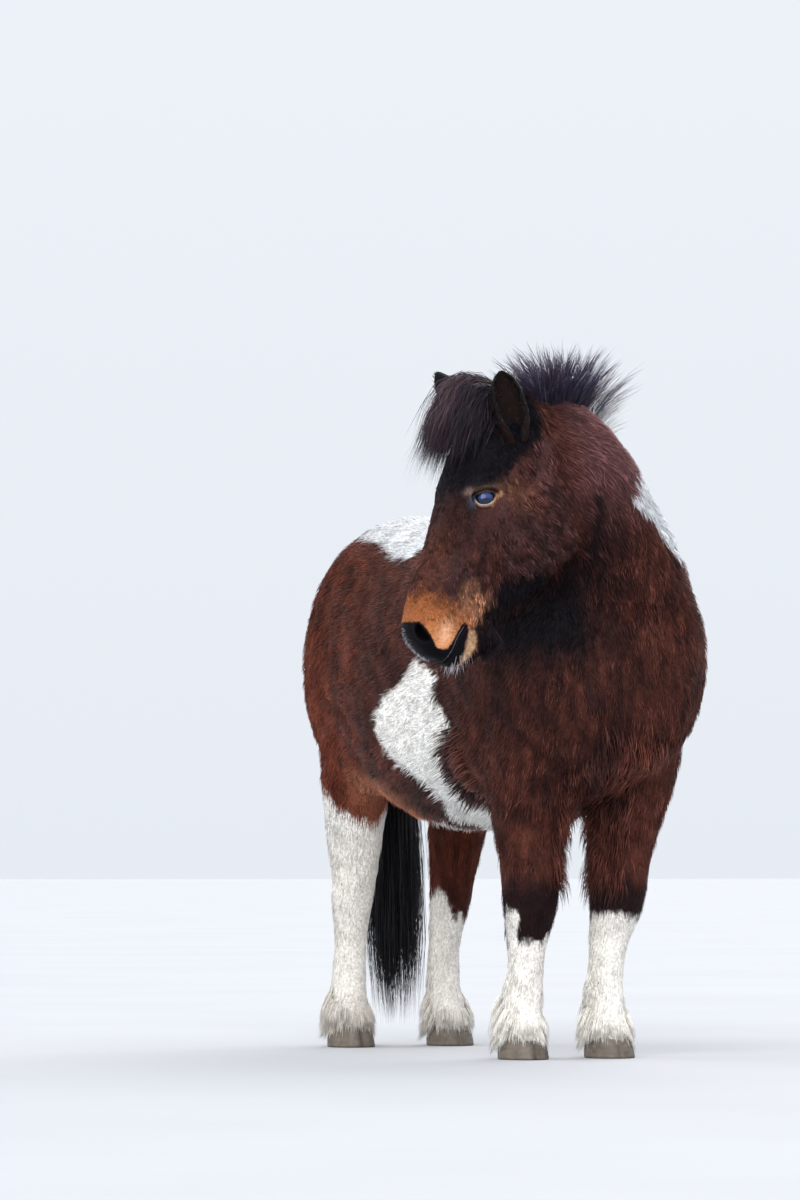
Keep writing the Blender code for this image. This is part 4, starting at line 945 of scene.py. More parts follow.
def ear(side, letter):
    """An ear: an outer and an inner sheet of the same leaf, rolled round its cup and joined at its edges."""
    base, tip, facing = (Vector(EARS[side][k]) for k in range(3))
    base, tip = np.array(head_point(*base)), np.array(head_point(*tip))
    rise = tip - base
    facing = np.array(head_way(*facing))
    across = unit(np.cross(rise, facing)[None])[0]
    out = unit(np.cross(across, rise)[None])[0]
    rows, columns = 34, 33
    profile = spline_rows(EAR_PROFILE, 8)
    shares = np.linspace(0, 1, rows)
    halves = np.interp(shares, profile[:, 0], profile[:, 1])
    open_angle = np.radians(np.interp(shares, (0, 0.15, 0.5, 0.85, 1), (165, 145, 122, 108, 100)))
    sheets = []
    for inset, forward in ((0.0018, 0.0), (0.0060, 0.0012)):
        for i, (share, half, angle) in enumerate(zip(shares, halves, open_angle)):
            spine = base + rise * share + out * (0.010 * math.sin(math.pi * share) + forward)
            turn = np.linspace(-1, 1, columns) * angle
            edge = 1 - 0.75 * np.abs(np.linspace(-1, 1, columns)) ** 6
            width = max(EAR_HALF_WIDTH * half - inset * 1.0, 0.0006)
            deep = max(EAR_DEPTH * half - inset * 1.0, 0.0006)
            sheets.append(spine + across * (np.sin(turn) * width)[:, None] - out * (np.cos(turn) * deep)[:, None])
    places = np.array(sheets).reshape(-1, 3)
    outer = grid_faces(rows, columns, False)
    inner = outer[:, ::-1] + rows * columns
    faces = [outer, inner]
    for column in (0, columns - 1):
        line = np.arange(rows) * columns + column
        a, b = (line, line + rows * columns) if column else (line + rows * columns, line)
        faces.append(np.stack([a[:-1], b[:-1], b[1:], a[1:]], 1))
    top = np.arange((rows - 1) * columns, rows * columns)
    faces.append(np.stack([top[:-1], top[1:], top[1:] + rows * columns, top[:-1] + rows * columns], 1)[:, ::-1])
    made = mesh_of("ear_skin_" + letter, places, *faces)
    mesh = bmesh.new()
    mesh.from_mesh(made.data)
    bmesh.ops.recalc_face_normals(mesh, faces=mesh.faces)
    mesh.to_mesh(made.data)
    mesh.free()
    return made


def ear_colours(obj, side):
    count = len(obj.data.vertices) // 2
    base, tip = (np.array(head_point(*EARS[side][k])) for k in (0, 1))
    rise = tip - base
    share = np.clip(((places_of(obj.data) - base) @ rise) / (rise @ rise), 0, 1)
    column = np.tile(np.abs(np.linspace(-1, 1, 33)), len(share) // 33)
    colours = mix(BLACK[None].repeat(len(share), 0), DARK_BROWN, 0.7 * ramp(-share, -0.75, -0.2))
    inner = np.arange(len(share)) >= count
    colours = colours * 0.5
    warm = np.array((0.012, 0.0065, 0.0055))
    colours[inner] = mix(colours, warm, ramp(-column, -0.7, -0.2) * ramp(share, 0.1, 0.3))[inner]
    # Pale edges on the right ear only: painted rim light. The left ear's edges stay dark.
    rim = np.array((0.016, 0.012, 0.012) if side > 0 else (0.20, 0.19, 0.21))
    return mix(colours, rim, 0.6 * ramp(column, 0.94, 1.0) * ramp(share, 0.35, 0.8))


def ear_fur(obj, side, letter):
    """Short fur over the ear's back, and longer hairs out of its cup."""
    roots, normals = scatter(obj, lambda places: np.full(len(places), 65000))
    base, tip, facing = (np.array(EARS[side][k]) for k in range(3))
    base, tip, facing = np.array(head_point(*base)), np.array(head_point(*tip)), unit(facing @ HEAD_ROWS)
    rise = tip - base
    share = np.clip(((roots - base) @ rise) / (rise @ rise), 0, 1)
    aside = roots - base - share[:, None] * rise
    inner = (aside * normals).sum(1) < 0
    ways = unit(unit(rise) + 0.12 * rng.normal(size=roots.shape) + np.where(inner, 0.55, 0.0)[:, None] * facing)
    ways = unit(ways - normals * (ways * normals).sum(1, keepdims=True))
    edge = ramp(aside @ facing, -0.010, 0.012)
    length = np.where(inner, 0.010 + 0.012 * edge, 0.0085) * (1 - 0.35 * share)
    colours = mix(0.5 * BLACK[None].repeat(len(roots), 0), np.array((0.014, 0.0075, 0.006)), inner * (1 - edge))
    # A few lighter hairs at the edges, and many pale ones on the right ear: painted rim light on the right ear.
    pale = (rng.random(len(roots)) < (0.03 if side > 0 else 0.30)) & (edge > 0.7)
    colours[pale] = (0.06, 0.045, 0.045) if side > 0 else (0.30, 0.28, 0.30)
    return tufts("ear_fur_" + letter, roots, normals, ways, length, np.full(len(roots), 0.22), colours, True)


# Strands: every hair, tuft and lock is a closed tapered form of three sides along a path.

UNWRAP_TILES = 4


def unwrap(places):
    """Where points lie on an unwrap of the body, which has a tile for each limb, round its axis and along it."""
    x, y, z = places.T
    head = in_head(places)
    spots = np.zeros((len(places), 2))
    parts = [
        (np.ones(len(x), bool), np.arctan2(x, z - 1.0), (y + 0.5) / 1.8),
        (neck_share(places) > 0.5, np.arctan2(y + 0.30, x + 0.10), (z - 0.8) / 1.0),
        (head_share(places) > 0.5, np.arctan2(head[:, 2], head[:, 1]), (head[:, 0] + 0.2) / 1.0),
    ]
    for foot_back, out in (FORE_FOOT[::-1], HIND_FOOT[::-1]):
        for side in (-1, 1):
            here = (z < 0.62) & (np.abs(y - foot_back) < 0.35) & (x * side > 0)
            parts.append((here, np.arctan2(x - side * out, y - foot_back), z / 0.7))
    for tile, (here, angle, rise) in enumerate(parts):
        u = (tile % UNWRAP_TILES + 0.04 + 0.92 * (angle / (2 * math.pi) + 0.5)) / UNWRAP_TILES
        v = (tile // UNWRAP_TILES + 0.04 + 0.92 * np.clip(rise, 0, 1)) / UNWRAP_TILES
        spots[here] = np.stack([u, v], 1)[here]
    return spots


SIDES = 3
PIECE_FACES = 190000


def strands(name, paths, widths, outs, colours, spots, flat=0.45, taper=0.6, contrast=1.0):
    """Pieces of mesh with one strand along each path, which ends in its last point.

    widths has each strand's width, outs the way that its flat side faces, spots its root's place on the unwrap.
    """
    count, points = paths.shape[:2]
    faces_each = (points - 2) * 6 + 3
    per_piece = PIECE_FACES // faces_each
    made = []
    angles = np.radians((90, 210, 330))
    for number, start in enumerate(range(0, count, per_piece)):
        chosen = slice(start, start + per_piece)
        path, width, out = paths[chosen], widths[chosen], outs[chosen]
        total = len(path)
        forward = unit(np.gradient(path, axis=1))
        side = unit(np.cross(forward, out[:, None] if out.ndim == 2 else out))
        up = np.cross(side, forward)
        shares = np.arange(points - 1) / (points - 1)
        half = 0.5 * width[:, None] * (1 - shares**1.6 * taper)[None]
        rings = [
            path[:, :-1] + side[:, :-1] * (half * math.cos(a))[..., None] + up[:, :-1] * (half * flat * math.sin(a))[..., None]
            for a in angles
        ]
        body = np.stack(rings, 2).reshape(total, (points - 1) * SIDES, 3)
        places = np.concatenate([body, path[:, -1:]], 1)
        each = (points - 1) * SIDES + 1
        ring_faces = grid_faces(points - 1, SIDES)
        last = (points - 2) * SIDES
        tips = np.array([(last + k, last + (k + 1) % SIDES, each - 1) for k in range(SIDES)])
        offset = (np.arange(total) * each)[:, None, None]
        sets = [(tips[None] + offset).reshape(-1, 3)]
        if points > 2:
            sets.insert(0, (ring_faces[None] + offset).reshape(-1, 4))
        obj = mesh_of(f"{name}_{number}", places.reshape(-1, 3), *sets)
        level = np.append(np.repeat(shares, SIDES), 1.0)
        # Each strand is darker at its root, as painted shade in the coat, and lighter at its tip, as painted highlight;
        # less so on pale hair.
        pale = ramp(colours[chosen].mean(1), 0.15, 0.5)
        root_tone = 1 - contrast * (0.62 - 0.57 * pale)
        tip_tone = 1 + contrast * (0.45 - 0.45 * pale)
        tone = root_tone[:, None] * (1 - level) ** 1.5 + tip_tone[:, None] * (1 - (1 - level) ** 1.5)
        paint(obj, np.clip(colours[chosen][:, None] * tone[..., None], 0, 0.97).reshape(-1, 3))
        corner = np.append(np.tile((0.0, 0.5, 1.0), points - 1), 0.5)
        patch = 0.003 * np.stack([corner - 0.5, level - 0.5], 1)
        spot = (spots[chosen][:, None] + patch[None]).reshape(-1, 2)
        layer = obj.data.uv_layers.new(name="OFBake")
        loop = np.empty(len(obj.data.loops), np.int32)
        obj.data.loops.foreach_get("vertex_index", loop)
        layer.data.foreach_set("uv", spot[loop].astype(np.float32).ravel())
        made.append(obj)
    return made


def scatter(obj, density):
    """Random points on an object's triangles, so many to the square metre, with the surface's normal at each."""
    data = obj.data
    data.calc_loop_triangles()
    corners = np.empty(3 * len(data.loop_triangles), np.int32)
    data.loop_triangles.foreach_get("vertices", corners)
    corners = corners.reshape(-1, 3)
    places, normals = places_of(data), normals_of(data)
    a, b, c = (places[corners[:, k]] for k in range(3))
    area = 0.5 * np.linalg.norm(np.cross(b - a, c - a), axis=1)
    wanted = area * density((a + b + c) / 3)
    count = np.floor(wanted + rng.random(len(wanted))).astype(int)
    chosen = np.repeat(np.arange(len(corners)), count)
    u, v = rng.random(len(chosen)), rng.random(len(chosen))
    fold = u + v > 1
    u[fold], v[fold] = 1 - u[fold], 1 - v[fold]
    weights = np.stack([1 - u - v, u, v], 1)
    spots = (places[corners[chosen]] * weights[..., None]).sum(1)
    return spots, unit((normals[corners[chosen]] * weights[..., None]).sum(1))


def coat_density(places):
    found = 26000 + 13000 * neck_share(places)
    found = found + (56000 - found) * leg_share(places)
    on_head = 95000 + 35000 * ramp(in_head(places)[:, 0], 0.30, 0.50)
    found = found + (on_head - found) * head_share(places)
    return found * (1 - nose_black(places)) * ramp(eye_gap(places), 0.010, 0.014)


def clumps(roots, share):
    """For each root, the number of a root nearby that its clump gathers round."""
    centres = np.flatnonzero(rng.random(len(roots)) < share)
    if not len(centres):
        return np.arange(len(roots))
    tree = KDTree(len(centres))
    for i, centre in enumerate(centres):
        tree.insert(roots[centre], i)
    tree.balance()
    return centres[[tree.find(root)[1] for root in roots]]


def tufts(name, roots, normals, ways, length, lift, colours, bent, clump_share=0.09, pull=0.55):
    """Coat tufts that start in the skin, rise by their lift, bend back along their way and gather in clumps."""
    count = len(roots)
    length = length * rng.uniform(0.75, 1.2, count)
    lift = lift * rng.uniform(0.5, 1.5, count)
    side = np.cross(normals, ways)
    ways = unit(ways + side * rng.normal(0, 0.12, count)[:, None])
    start = roots - normals * (0.08 * length)[:, None]
    step = length[:, None] * 0.55
    rise = np.sin(lift)[:, None]
    first = start + step * (ways * np.cos(lift)[:, None] + normals * (rise + 0.12))
    last = first + step * unit(ways + normals * rise * 0.4 - (0, 0, 0.10))
    on_head, on_leg = head_share(roots), leg_share(roots)
    middle = clumps(roots, clump_share * (0.45 if on_head.mean() > 0.5 else 1.0))
    strength = (pull * (1 - 0.70 * on_leg) * (1 + 0.35 * on_head) * rng.uniform(0.4, 1.1, count))[:, None]
    first = first + (first[middle] - first) * strength * 0.35
    last = last + (last[middle] - last) * strength
    tone = rng.normal(1, 0.12 + 0.10 * on_head, count) * rng.normal(1, 0.24 + 0.16 * on_head, count)[middle]
    tone = np.clip(tone * np.where(rng.random(count) < 0.10 * on_head, 2.0, 1.0), 0.35, 2.4)
    tone = 1 + (tone - 1) * (1 - 0.80 * ramp(colours.mean(1), 0.25, 0.6))
    colours = np.clip(colours * tone[:, None], 0, 0.97)
    paths = np.stack([start, first, last] if bent else [start, 0.5 * (first + last)], 1)
    width = (length * (0.060 if bent else 0.080) + 0.0010) * (1 - 0.36 * on_leg)
    return strands(name, paths, width, normals, colours, unwrap(roots))


def coat_of(obj, name, density, size=coat_length, bent_share=0.31, rise=0):
    """The short coat over one object: bent tufts, and straight ones under them."""
    roots, normals = scatter(obj, density)
    colours = coat_colour(roots)
    length = size(roots)
    lift = 15 + 6 * neck_share(roots) + 6 * waves(roots, 0.06, 51) - 4 * head_share(roots) - 7 * leg_share(roots)
    lift = lift * (1 - 0.35 * ramp(colours.mean(1), 0.3, 0.7))
    lift = np.radians(np.clip(lift + rise, 4, 45))
    ways = lie(roots, normals)
    bent = rng.random(len(roots)) < bent_share
    made = []
    for flag, label in ((True, "_top"), (False, "_under")):
        pick = bent == flag
        reach = length[pick] if flag else length[pick] * 0.9
        made += tufts(name + label, roots[pick], normals[pick], ways[pick], reach, lift[pick], colours[pick], flag)
    return made


# Materials


def principled(name, roughness, sheen=0.0, specular=0.5, coat=0.0):
    made = bpy.data.materials.new(name)
    made.use_nodes = True
    shader = made.node_tree.nodes["Principled BSDF"]
    shader.inputs["Roughness"].default_value = roughness
    shader.inputs["Sheen Weight"].default_value = sheen
    shader.inputs["Sheen Roughness"].default_value = 0.4
    shader.inputs["Specular IOR Level"].default_value = specular
    shader.inputs["Coat Weight"].default_value = coat
    return made, made.node_tree, shader


def add_node(tree, kind, **values):
    node = tree.nodes.new(kind)
    for key, value in values.items():
        if hasattr(node, key):
            setattr(node, key, value)
        else:
            node.inputs[key.replace("_", " ")].default_value = value
    return node


def noise(tree, scale, detail=4.0, coordinates="Object"):
    place = tree.nodes.new("ShaderNodeTexCoord")
    found = add_node(tree, "ShaderNodeTexNoise", Scale=scale, Detail=detail)
    tree.links.new(place.outputs[coordinates], found.inputs["Vector"])
    return found


def varied_colour(tree, shader, colour, texture, low, high):
    """Feeds the shader the colour, made darker and lighter by the texture."""
    span = add_node(tree, "ShaderNodeMapRange", To_Min=low, To_Max=high)
    span.inputs["From Min"].default_value = 0.3
    span.inputs["From Max"].default_value = 0.7
    tree.links.new(texture.outputs["Fac"], span.inputs["Value"])
    scaled = add_node(tree, "ShaderNodeVectorMath", operation="SCALE")
    tree.links.new(colour, scaled.inputs[0])
    tree.links.new(span.outputs["Result"], scaled.inputs["Scale"])
    tree.links.new(scaled.outputs["Vector"], shader.inputs["Base Color"])


def add_bump(tree, shader, height, strength, distance):
    bump = add_node(tree, "ShaderNodeBump", Strength=strength, Distance=distance)
    tree.links.new(height, bump.inputs["Height"])
    tree.links.new(bump.outputs["Normal"], shader.inputs["Normal"])


def hair_material(name, roughness=0.5, sheen=0.0, specular=0.12, low=0.85, high=1.2):
    made, tree, shader = principled(name, roughness, sheen, specular)
    stored = add_node(tree, "ShaderNodeVertexColor", layer_name="coat")
    varied_colour(tree, shader, stored.outputs["Color"], noise(tree, 45), low, high)
    return made


def skin_material(name):
    made, tree, shader = principled(name, 0.55, 0.0, 0.05)
    stored = add_node(tree, "ShaderNodeVertexColor", layer_name="coat")
    varied_colour(tree, shader, stored.outputs["Color"], noise(tree, 160), 0.65, 1.15)
    add_bump(tree, shader, noise(tree, 900, 2.0).outputs["Fac"], 0.35, 0.001)
    return made


def dress(objects, material, slot, *replaced):
    """Gives objects a material, sets them in the row's frame, and lets them ride on the one body."""
    for i, obj in enumerate(objects):
        obj.data.materials.clear()
        obj.data.materials.append(material)
        obj.data.transform(Matrix.Translation(SHIFT))
        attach(obj, "root")
        if replaced and i == 0:
            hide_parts(*replaced)


low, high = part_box("fore_hoof_l")
SHIFT = Vector(((low.x + high.x) / 2 - FORE_FOOT[0], low.y - FORE_FOOT[1] + HOOF_REACH, 0))

# Build


SKIN_SHARE = 0.36


def thin_out(obj, share):
    """Fewer triangles, and the fewest where the surface is flattest."""
    modifier = obj.modifiers.new("thin", "DECIMATE")
    modifier.ratio = share
    apply_modifiers(obj)


def make_skin():
    skin = fused_flesh()
    outline = BVHTree.FromPolygons([v.co for v in skin.data.vertices], [p.vertices for p in skin.data.polygons])
    refine_head(skin)
    shape_skin(skin)
    thin_out(skin, SKIN_SHARE)
    skin.data.shade_smooth()
    places, normals = places_of(skin.data), normals_of(skin.data)
    colours = coat_colour(places)
    # The skin is painted darker than the coat above it, less so under pale hair: painted shade in the gaps between
    # tufts.
    paint(skin, colours * (0.75 + 0.22 * ramp(colours.mean(1), 0.3, 0.7))[:, None])
    return skin, outline


def arcs(roots, bends, tips, points):
    """Paths that leave roots towards bends and end at tips."""
    t = np.linspace(0, 1, points)[None, :, None]
    return roots[:, None] * (1 - t) ** 2 + bends[:, None] * 2 * t * (1 - t) + tips[:, None] * t * t


def lock_strands(paths, per_lock, radius, spread=0.35, frizz=0.004):
    """Strands that run beside one another along each path, and gather towards its tip."""
    count, points = paths.shape[:2]
    paths = np.repeat(paths, per_lock, 0)
    total = len(paths)
    length = np.linalg.norm(np.diff(paths, axis=1), axis=2).sum(1)
    forward = unit(paths[:, -1] - paths[:, 0])
    side = unit(np.cross(forward, rng.normal(size=(total, 3)) * 0.01 + (0.3, 0.2, 0.93)))
    up = np.cross(side, forward)
    turn, far = rng.uniform(0, 2 * math.pi, total), np.sqrt(rng.random(total))
    offset = side * (np.cos(turn) * far)[:, None] + up * (np.sin(turn) * far)[:, None]
    radius = np.repeat(radius, per_lock) if np.ndim(radius) else np.full(total, radius)
    t = np.linspace(0, 1, points)
    spread = np.repeat(spread, per_lock) if np.ndim(spread) else np.full(total, spread)
    gather = 1 - (1 - spread[:, None]) * t[None]
    found = paths + offset[:, None] * (radius[:, None] * gather)[..., None]
    wobble = rng.normal(0, 1, (total, 1, 3)) * (t**1.5)[None, :, None] + rng.normal(0, 0.35, (total, points, 3)) * t[None, :, None]
    found = found + wobble * frizz * (length / 0.12)[:, None, None]
    reach = rng.uniform(0.72, 1.06, total)[:, None, None]
    return found[:, :1] + (found - found[:, :1]) * reach


MANE_START, MANE_END = 5, 20


def crest_frames(shares):
    """Points on the crest at shares of its way from the withers to the poll, with the ways up, across and along."""
    rows = NECK_ROWS[MANE_START : MANE_END + 1]
    points = np.array([row[0] + row[2] * row[3] for row in rows])
    places = np.linspace(0, 1, len(rows))
    take = lambda table: np.stack([np.interp(shares, places, table[:, k]) for k in range(3)], 1)
    crest = np.array([row[2] for row in rows])
    across = np.array([row[1] for row in rows])
    return take(points), unit(take(crest)), unit(take(across)), unit(take(np.gradient(points, axis=0)))


def mane():
    """The mane: clumps that stand and fan out from the crest, and fall to the left further back."""
    count = 520
    shares = np.sort(rng.random(count)) * 1.04 - 0.01
    point, crest, across, along = crest_frames(np.clip(shares, 0, 1))
    rear = ramp(-shares, -0.62, -0.30)
    lean = rng.uniform(-1, 1, count) - 0.55 * rear
    fan = 0.9 * shares - 0.50 + 0.55 * ramp(shares, 0.65, 0.9) + 0.9 * ramp(shares, 0.88, 1.0)
    fan = fan + rng.normal(0, 0.22, count)
    way = crest + across * (lean * 0.66)[:, None] + along * (fan * 0.72)[:, None] + rng.normal(0, 0.09, (count, 3))
    way = unit(way)
    long = rng.random(count) < 0.60
    size = np.interp(lean, (-1.5, -1, 0, 1), (0.140, 0.112, 0.122, 0.165)) * (0.84 + 0.20 * np.sin(math.pi * shares))
    size = size * np.where(long, rng.uniform(0.84, 1.26, count), rng.uniform(0.50, 0.80, count))
    root = point + across * (lean * 0.018 + rng.normal(0, 0.005, count))[:, None] - crest * 0.022
    bend = root + way * (size * 0.62)[:, None] + crest * 0.014
    droop = 0.010 + 0.75 * np.maximum(0, size - 0.14)
    tip = root + way * (size + 0.022)[:, None] + across * (lean * 0.030)[:, None] - crest * droop[:, None]
    paths = lock_strands(arcs(root, bend, tip, 5), 13, 0.011, spread=np.where(long, 0.12, 0.45), frizz=0.0045)
    share, rear = np.repeat(shares, 13), np.repeat(rear, 13)
    edge = np.repeat(rng.normal(0.50, 0.08, count), 13) + rng.normal(0, 0.03, len(paths))
    pale = ramp(edge - share, -0.015, 0.015)
    colours = mix(np.array((0.046, 0.039, 0.074))[None].repeat(len(paths), 0), WHITE * (0.86, 0.88, 0.96), pale)
    # Grey strands, most towards the withers: painted sheen.
    grey_sheen = (rng.random(len(paths)) < 0.03 + 0.35 * rear) & (pale < 0.5)
    colours[grey_sheen] = mix(colours, np.array((0.34, 0.34, 0.42)), rng.uniform(0.2, 1.0, len(paths)))[grey_sheen]
    warm = (rng.random(len(paths)) < 0.10) & (pale < 0.5)
    colours[warm] = (0.085, 0.045, 0.055)
    return long_strands("mane", paths, (0.0012, 0.0023), colours, (0.30, 1.6))


def long_strands(name, paths, width, colours, tones):
    """Strands of mane or forelock, each of its own width and tone."""
    count = len(paths)
    outs = unit(np.cross(paths[:, -1] - paths[:, 0], rng.normal(size=(count, 3))))
    colours = np.clip(colours * rng.uniform(*tones, count)[:, None], 0, 0.85)
    return strands(name, paths, rng.uniform(*width, count), outs, colours, unwrap(paths[:, 0]), contrast=0.7)


def forelock():
    """The forelock: it rises from the poll, arches forward and hangs over the forehead in wisps."""
    count = 520
    side = rng.uniform(-1, 1, count)
    outer = side**2
    layer = np.sqrt(rng.random(count))
    fly = rng.random(count) < 0.30
    root = np.stack([rng.uniform(-0.002, 0.056, count), rng.uniform(0.040, 0.080, count), side * 0.054], 1)
    reach = 0.158 + 0.086 * layer - 0.060 * outer + rng.normal(0, 0.012, count)
    rise = -0.008 - 0.042 * layer + 0.040 * outer + rng.normal(0, 0.010, count)
    bend = np.stack([rise, reach, side * 0.080 + rng.normal(0, 0.008, count)], 1)
    end = 0.246 - 0.056 * layer**2 - 0.020 * outer + rng.normal(0, 0.022, count)
    end = np.where(fly, end - rng.uniform(0.02, 0.12, count), end)
    out = 0.124 + 0.084 * layer - 0.045 * outer + rng.normal(0, 0.008, count) - np.where(fly, 0.004, 0)
    tip = np.stack([end, out, side * 0.092 + rng.normal(0, 0.018, count)], 1)
    root, bend, tip = (np.array(POLL) + table @ HEAD_ROWS for table in (root, bend, tip))
    paths = lock_strands(arcs(root, bend, tip, 6), 9, 0.012, spread=np.where(fly, 0.12, 0.32), frizz=0.0050)
    colours = np.array((0.012, 0.0095, 0.017))[None].repeat(len(paths), 0)
    # Purple-brown strands, most on the outer middle of the top layer: painted sheen.
    high = np.repeat(ramp(layer, 0.45, 0.95) * ramp(-np.abs(side), -1.0, -0.3), 9)
    warm = rng.random(len(paths)) < 0.10 + 0.55 * high
    colours[warm] = (0.085, 0.047, 0.058)
    return long_strands("forelock", paths, (0.0012, 0.0023), colours, (0.4, 1.6))


def tail():
    rows = spline_rows(TAIL, 6)
    places = np.linspace(0, 1, len(rows))
    count = 340
    start = np.where(rng.random(count) < 0.55, rng.uniform(0.02, 0.22, count), rng.uniform(0.15, 0.36, count))
    stop = np.where(rng.random(count) < 0.72, rng.uniform(0.86, 1.0, count), start + rng.uniform(0.35, 0.55, count))
    angle = rng.uniform(0, 2 * math.pi, count)
    size = np.sqrt(rng.uniform(0.15, 1.0, count))
    t = np.linspace(0, 1, 6)
    share = start[:, None] + (stop - start)[:, None] * t[None]
    x, y, z, half, deep = (np.interp(share, places, rows[:, k]) for k in range(5))
    spread = (0.25 + 0.75 * np.minimum(1, 2.2 * t)[None]) * size[:, None]
    spread = np.maximum(spread, 0.62 * size[:, None]) * (1 - 0.10 * t[None])
    drift = rng.normal(0, 0.12, (count, 1)) * t[None]
    paths = np.stack([x + np.sin(angle[:, None] + drift) * half * spread, y + np.cos(angle[:, None] + drift) * deep * spread, z], 2)
    paths = lock_strands(paths, 11, 0.011, spread=0.40, frizz=0.0011)
    low = paths[:, :, 2] < 0.055
    paths[:, :, 2] = np.where(low, 0.055 + 0.15 * (paths[:, :, 2] - 0.055), paths[:, :, 2])
    colours = np.array((0.0030, 0.0028, 0.0055))[None].repeat(len(paths), 0)
    tone = rng.uniform(0.6, 1.6, len(paths))[:, None]
    outs = unit(np.stack([paths[:, 3, 0] - 0.06, paths[:, 3, 1] - 1.15, np.zeros(len(paths))], 1))
    return strands("tail_hair", paths, rng.uniform(0.0023, 0.0042, len(paths)), outs, colours * tone, unwrap(paths[:, 0]), contrast=0.2)


def tail_core():
    """The dock and the dark inside of the tail's upper half."""
    rows = spline_rows(TAIL, 6)[:27]
    rings = []
    centres = np.array(rows[:, :3])
    for i, row in enumerate(rows):
        forward = Vector(unit((centres[min(i + 1, len(rows) - 1)] - centres[max(i - 1, 0)])[None])[0])
        taper = 0.70 * (1 - 0.7 * (i / (len(rows) - 1)) ** 2)
        rings.append(oval(Vector(row[:3]), LEFT, forward.cross(LEFT).normalized(), row[3] * taper, row[4] * taper, row[4] * taper, sides=24))
    mesh = bmesh.new()
    loft(mesh, rings)
    made = object_of("tail_dock", mesh)
    made.data.shade_smooth()
    paint(made, np.array((0.006, 0.0055, 0.008))[None].repeat(len(made.data.vertices), 0))
    return made


def feather():
    """Long hair of the fetlocks and coronets, over the hooves."""
    made = []
    for name, rows, (out, back) in (("fore", FORE_LEG, FORE_FOOT), ("hind", HIND_LEG, HIND_FOOT)):
        for side, letter in ((1, "l"), (-1, "r")):
            count = 220
            angle = rng.uniform(0, 2 * math.pi, count)
            around = np.stack([np.sin(angle), np.cos(angle), np.zeros(count)], 1)
            behind = 0.5 + 0.5 * np.cos(angle)
            level = rng.random(count)
            top = 0.060 + (0.035 + 0.075 * behind) * level
            middle = np.stack([np.full(count, side * out), back + 0.016 * behind, np.zeros(count)], 1)
            up = np.array((0, 0, 1.0))
            root = middle + around * 0.044 + up * top[:, None]
            drop = 0.042 + 0.034 * behind + rng.normal(0, 0.008, count)
            end = np.maximum(top - drop, 0.007 + 0.012 * rng.random(count))
            bend = middle + around * (0.0580 + 0.016 * behind)[:, None] + up * (top - 0.4 * drop)[:, None]
            far = 0.0625 + 0.018 * behind + rng.normal(0, 0.0025, count)
            tip = middle + around * far[:, None] + up * end[:, None]
            paths = lock_strands(arcs(root, bend, tip, 4), 9, 0.007, spread=0.45, frizz=0.0022)
            paths[:, :, 2] = np.maximum(paths[:, :, 2], 0.003)
            colours = coat_colour(paths[:, 0])
            ground = ramp(-paths[:, -1, 2], -0.05, -0.01)
            colours = mix(colours, DIRT, 0.35 * ground * (rng.random(len(paths)) < 0.5))
            outs = unit(np.concatenate([paths[:, 0, :2] - (side * out, back), np.zeros((len(paths), 1))], 1))
            colours = np.clip(colours * rng.normal(1, 0.05, len(paths))[:, None], 0, 0.97)
            width = rng.uniform(0.0012, 0.0021, len(paths))
            made += strands(f"feather_{name}_{letter}", paths, width, outs, colours, unwrap(paths[:, 0]), contrast=0.3)
    return made


# The tip of the nose as seen from the side, and a point inside it.
NOSE_TIP = ((0.6158, 0.0943), (0.6315, 0.0821), (0.6464, 0.0632), (0.6572, 0.0406), (0.6619, 0.0212), (0.662, 0.002))
NOSE_MIDDLE = (0.600, 0.020)


def fringe_density(places):
    """Where the long hairs of the forearms grow: on the back and the inner side, down to the knee."""
    x, y, z = places.T
    out, back = FORE_FOOT
    inner = ramp(out - np.abs(x), 0.004, 0.035)
    behind = ramp(y - back, 0.010, 0.045)
    level = ramp(z, 0.40, 0.48) * ramp(-z, -0.84, -0.72) * (y < 0.20)
    return 20000 * np.maximum(inner, behind) * level


def whiskers(tree):
    """Fine pale hairs: long ones on the lips and the chin, and pale blue down along one side of the tip of the nose,
    partly real down and partly painted rim light.
    """
    starts, ways, sizes = [], [], []
    for _ in range(56):
        side = rng.uniform(-0.035, 0.040)
        starts.append(head_point(rng.uniform(0.600, 0.660), rng.uniform(-0.066, -0.036), side))
        ways.append(head_way(1.0, rng.uniform(-0.9, 0.0), side * 7 + rng.normal(0, 0.35)).normalized())
        sizes.append(rng.uniform(0.010, 0.027))
    turns = np.linspace(0, 1, len(NOSE_TIP))
    # Pale blue down along one side of the nose tip's outline: partly real down, partly painted rim light.
    for _ in range(600):
        side = rng.uniform(-0.036, -0.006)
        step = rng.random()
        reach = [np.interp(step, turns, [point[k] for point in NOSE_TIP]) - NOSE_MIDDLE[k] for k in (0, 1)]
        starts.append(head_point(*NOSE_MIDDLE, side))
        ways.append(head_way(*reach, side * 0.3 + rng.normal(0, 0.006)).normalized())
        sizes.append(rng.uniform(0.0026, 0.0050))
    roots = []
    for start, way in zip(starts, ways):
        hit = tree.ray_cast(start, way)[0]
        roots.append(hit if hit is not None else start)
    roots, ways = np.array(roots), np.array(ways)
    size = np.array(sizes)[:, None]
    bend = roots + ways * size * 0.6
    tips = roots + (ways + np.array((-0.10, 0.0, -0.30))) * size
    paths = arcs(roots - ways * 0.002, bend, tips, 4)
    long = size[:, 0] > 0.006
    colours = np.where(long[:, None], (0.75, 0.75, 0.82), (0.66, 0.70, 0.82))
    width = np.where(long, 0.0008, 0.0004)
    return strands("whiskers", paths, width, ways, colours, unwrap(roots), contrast=0.0)


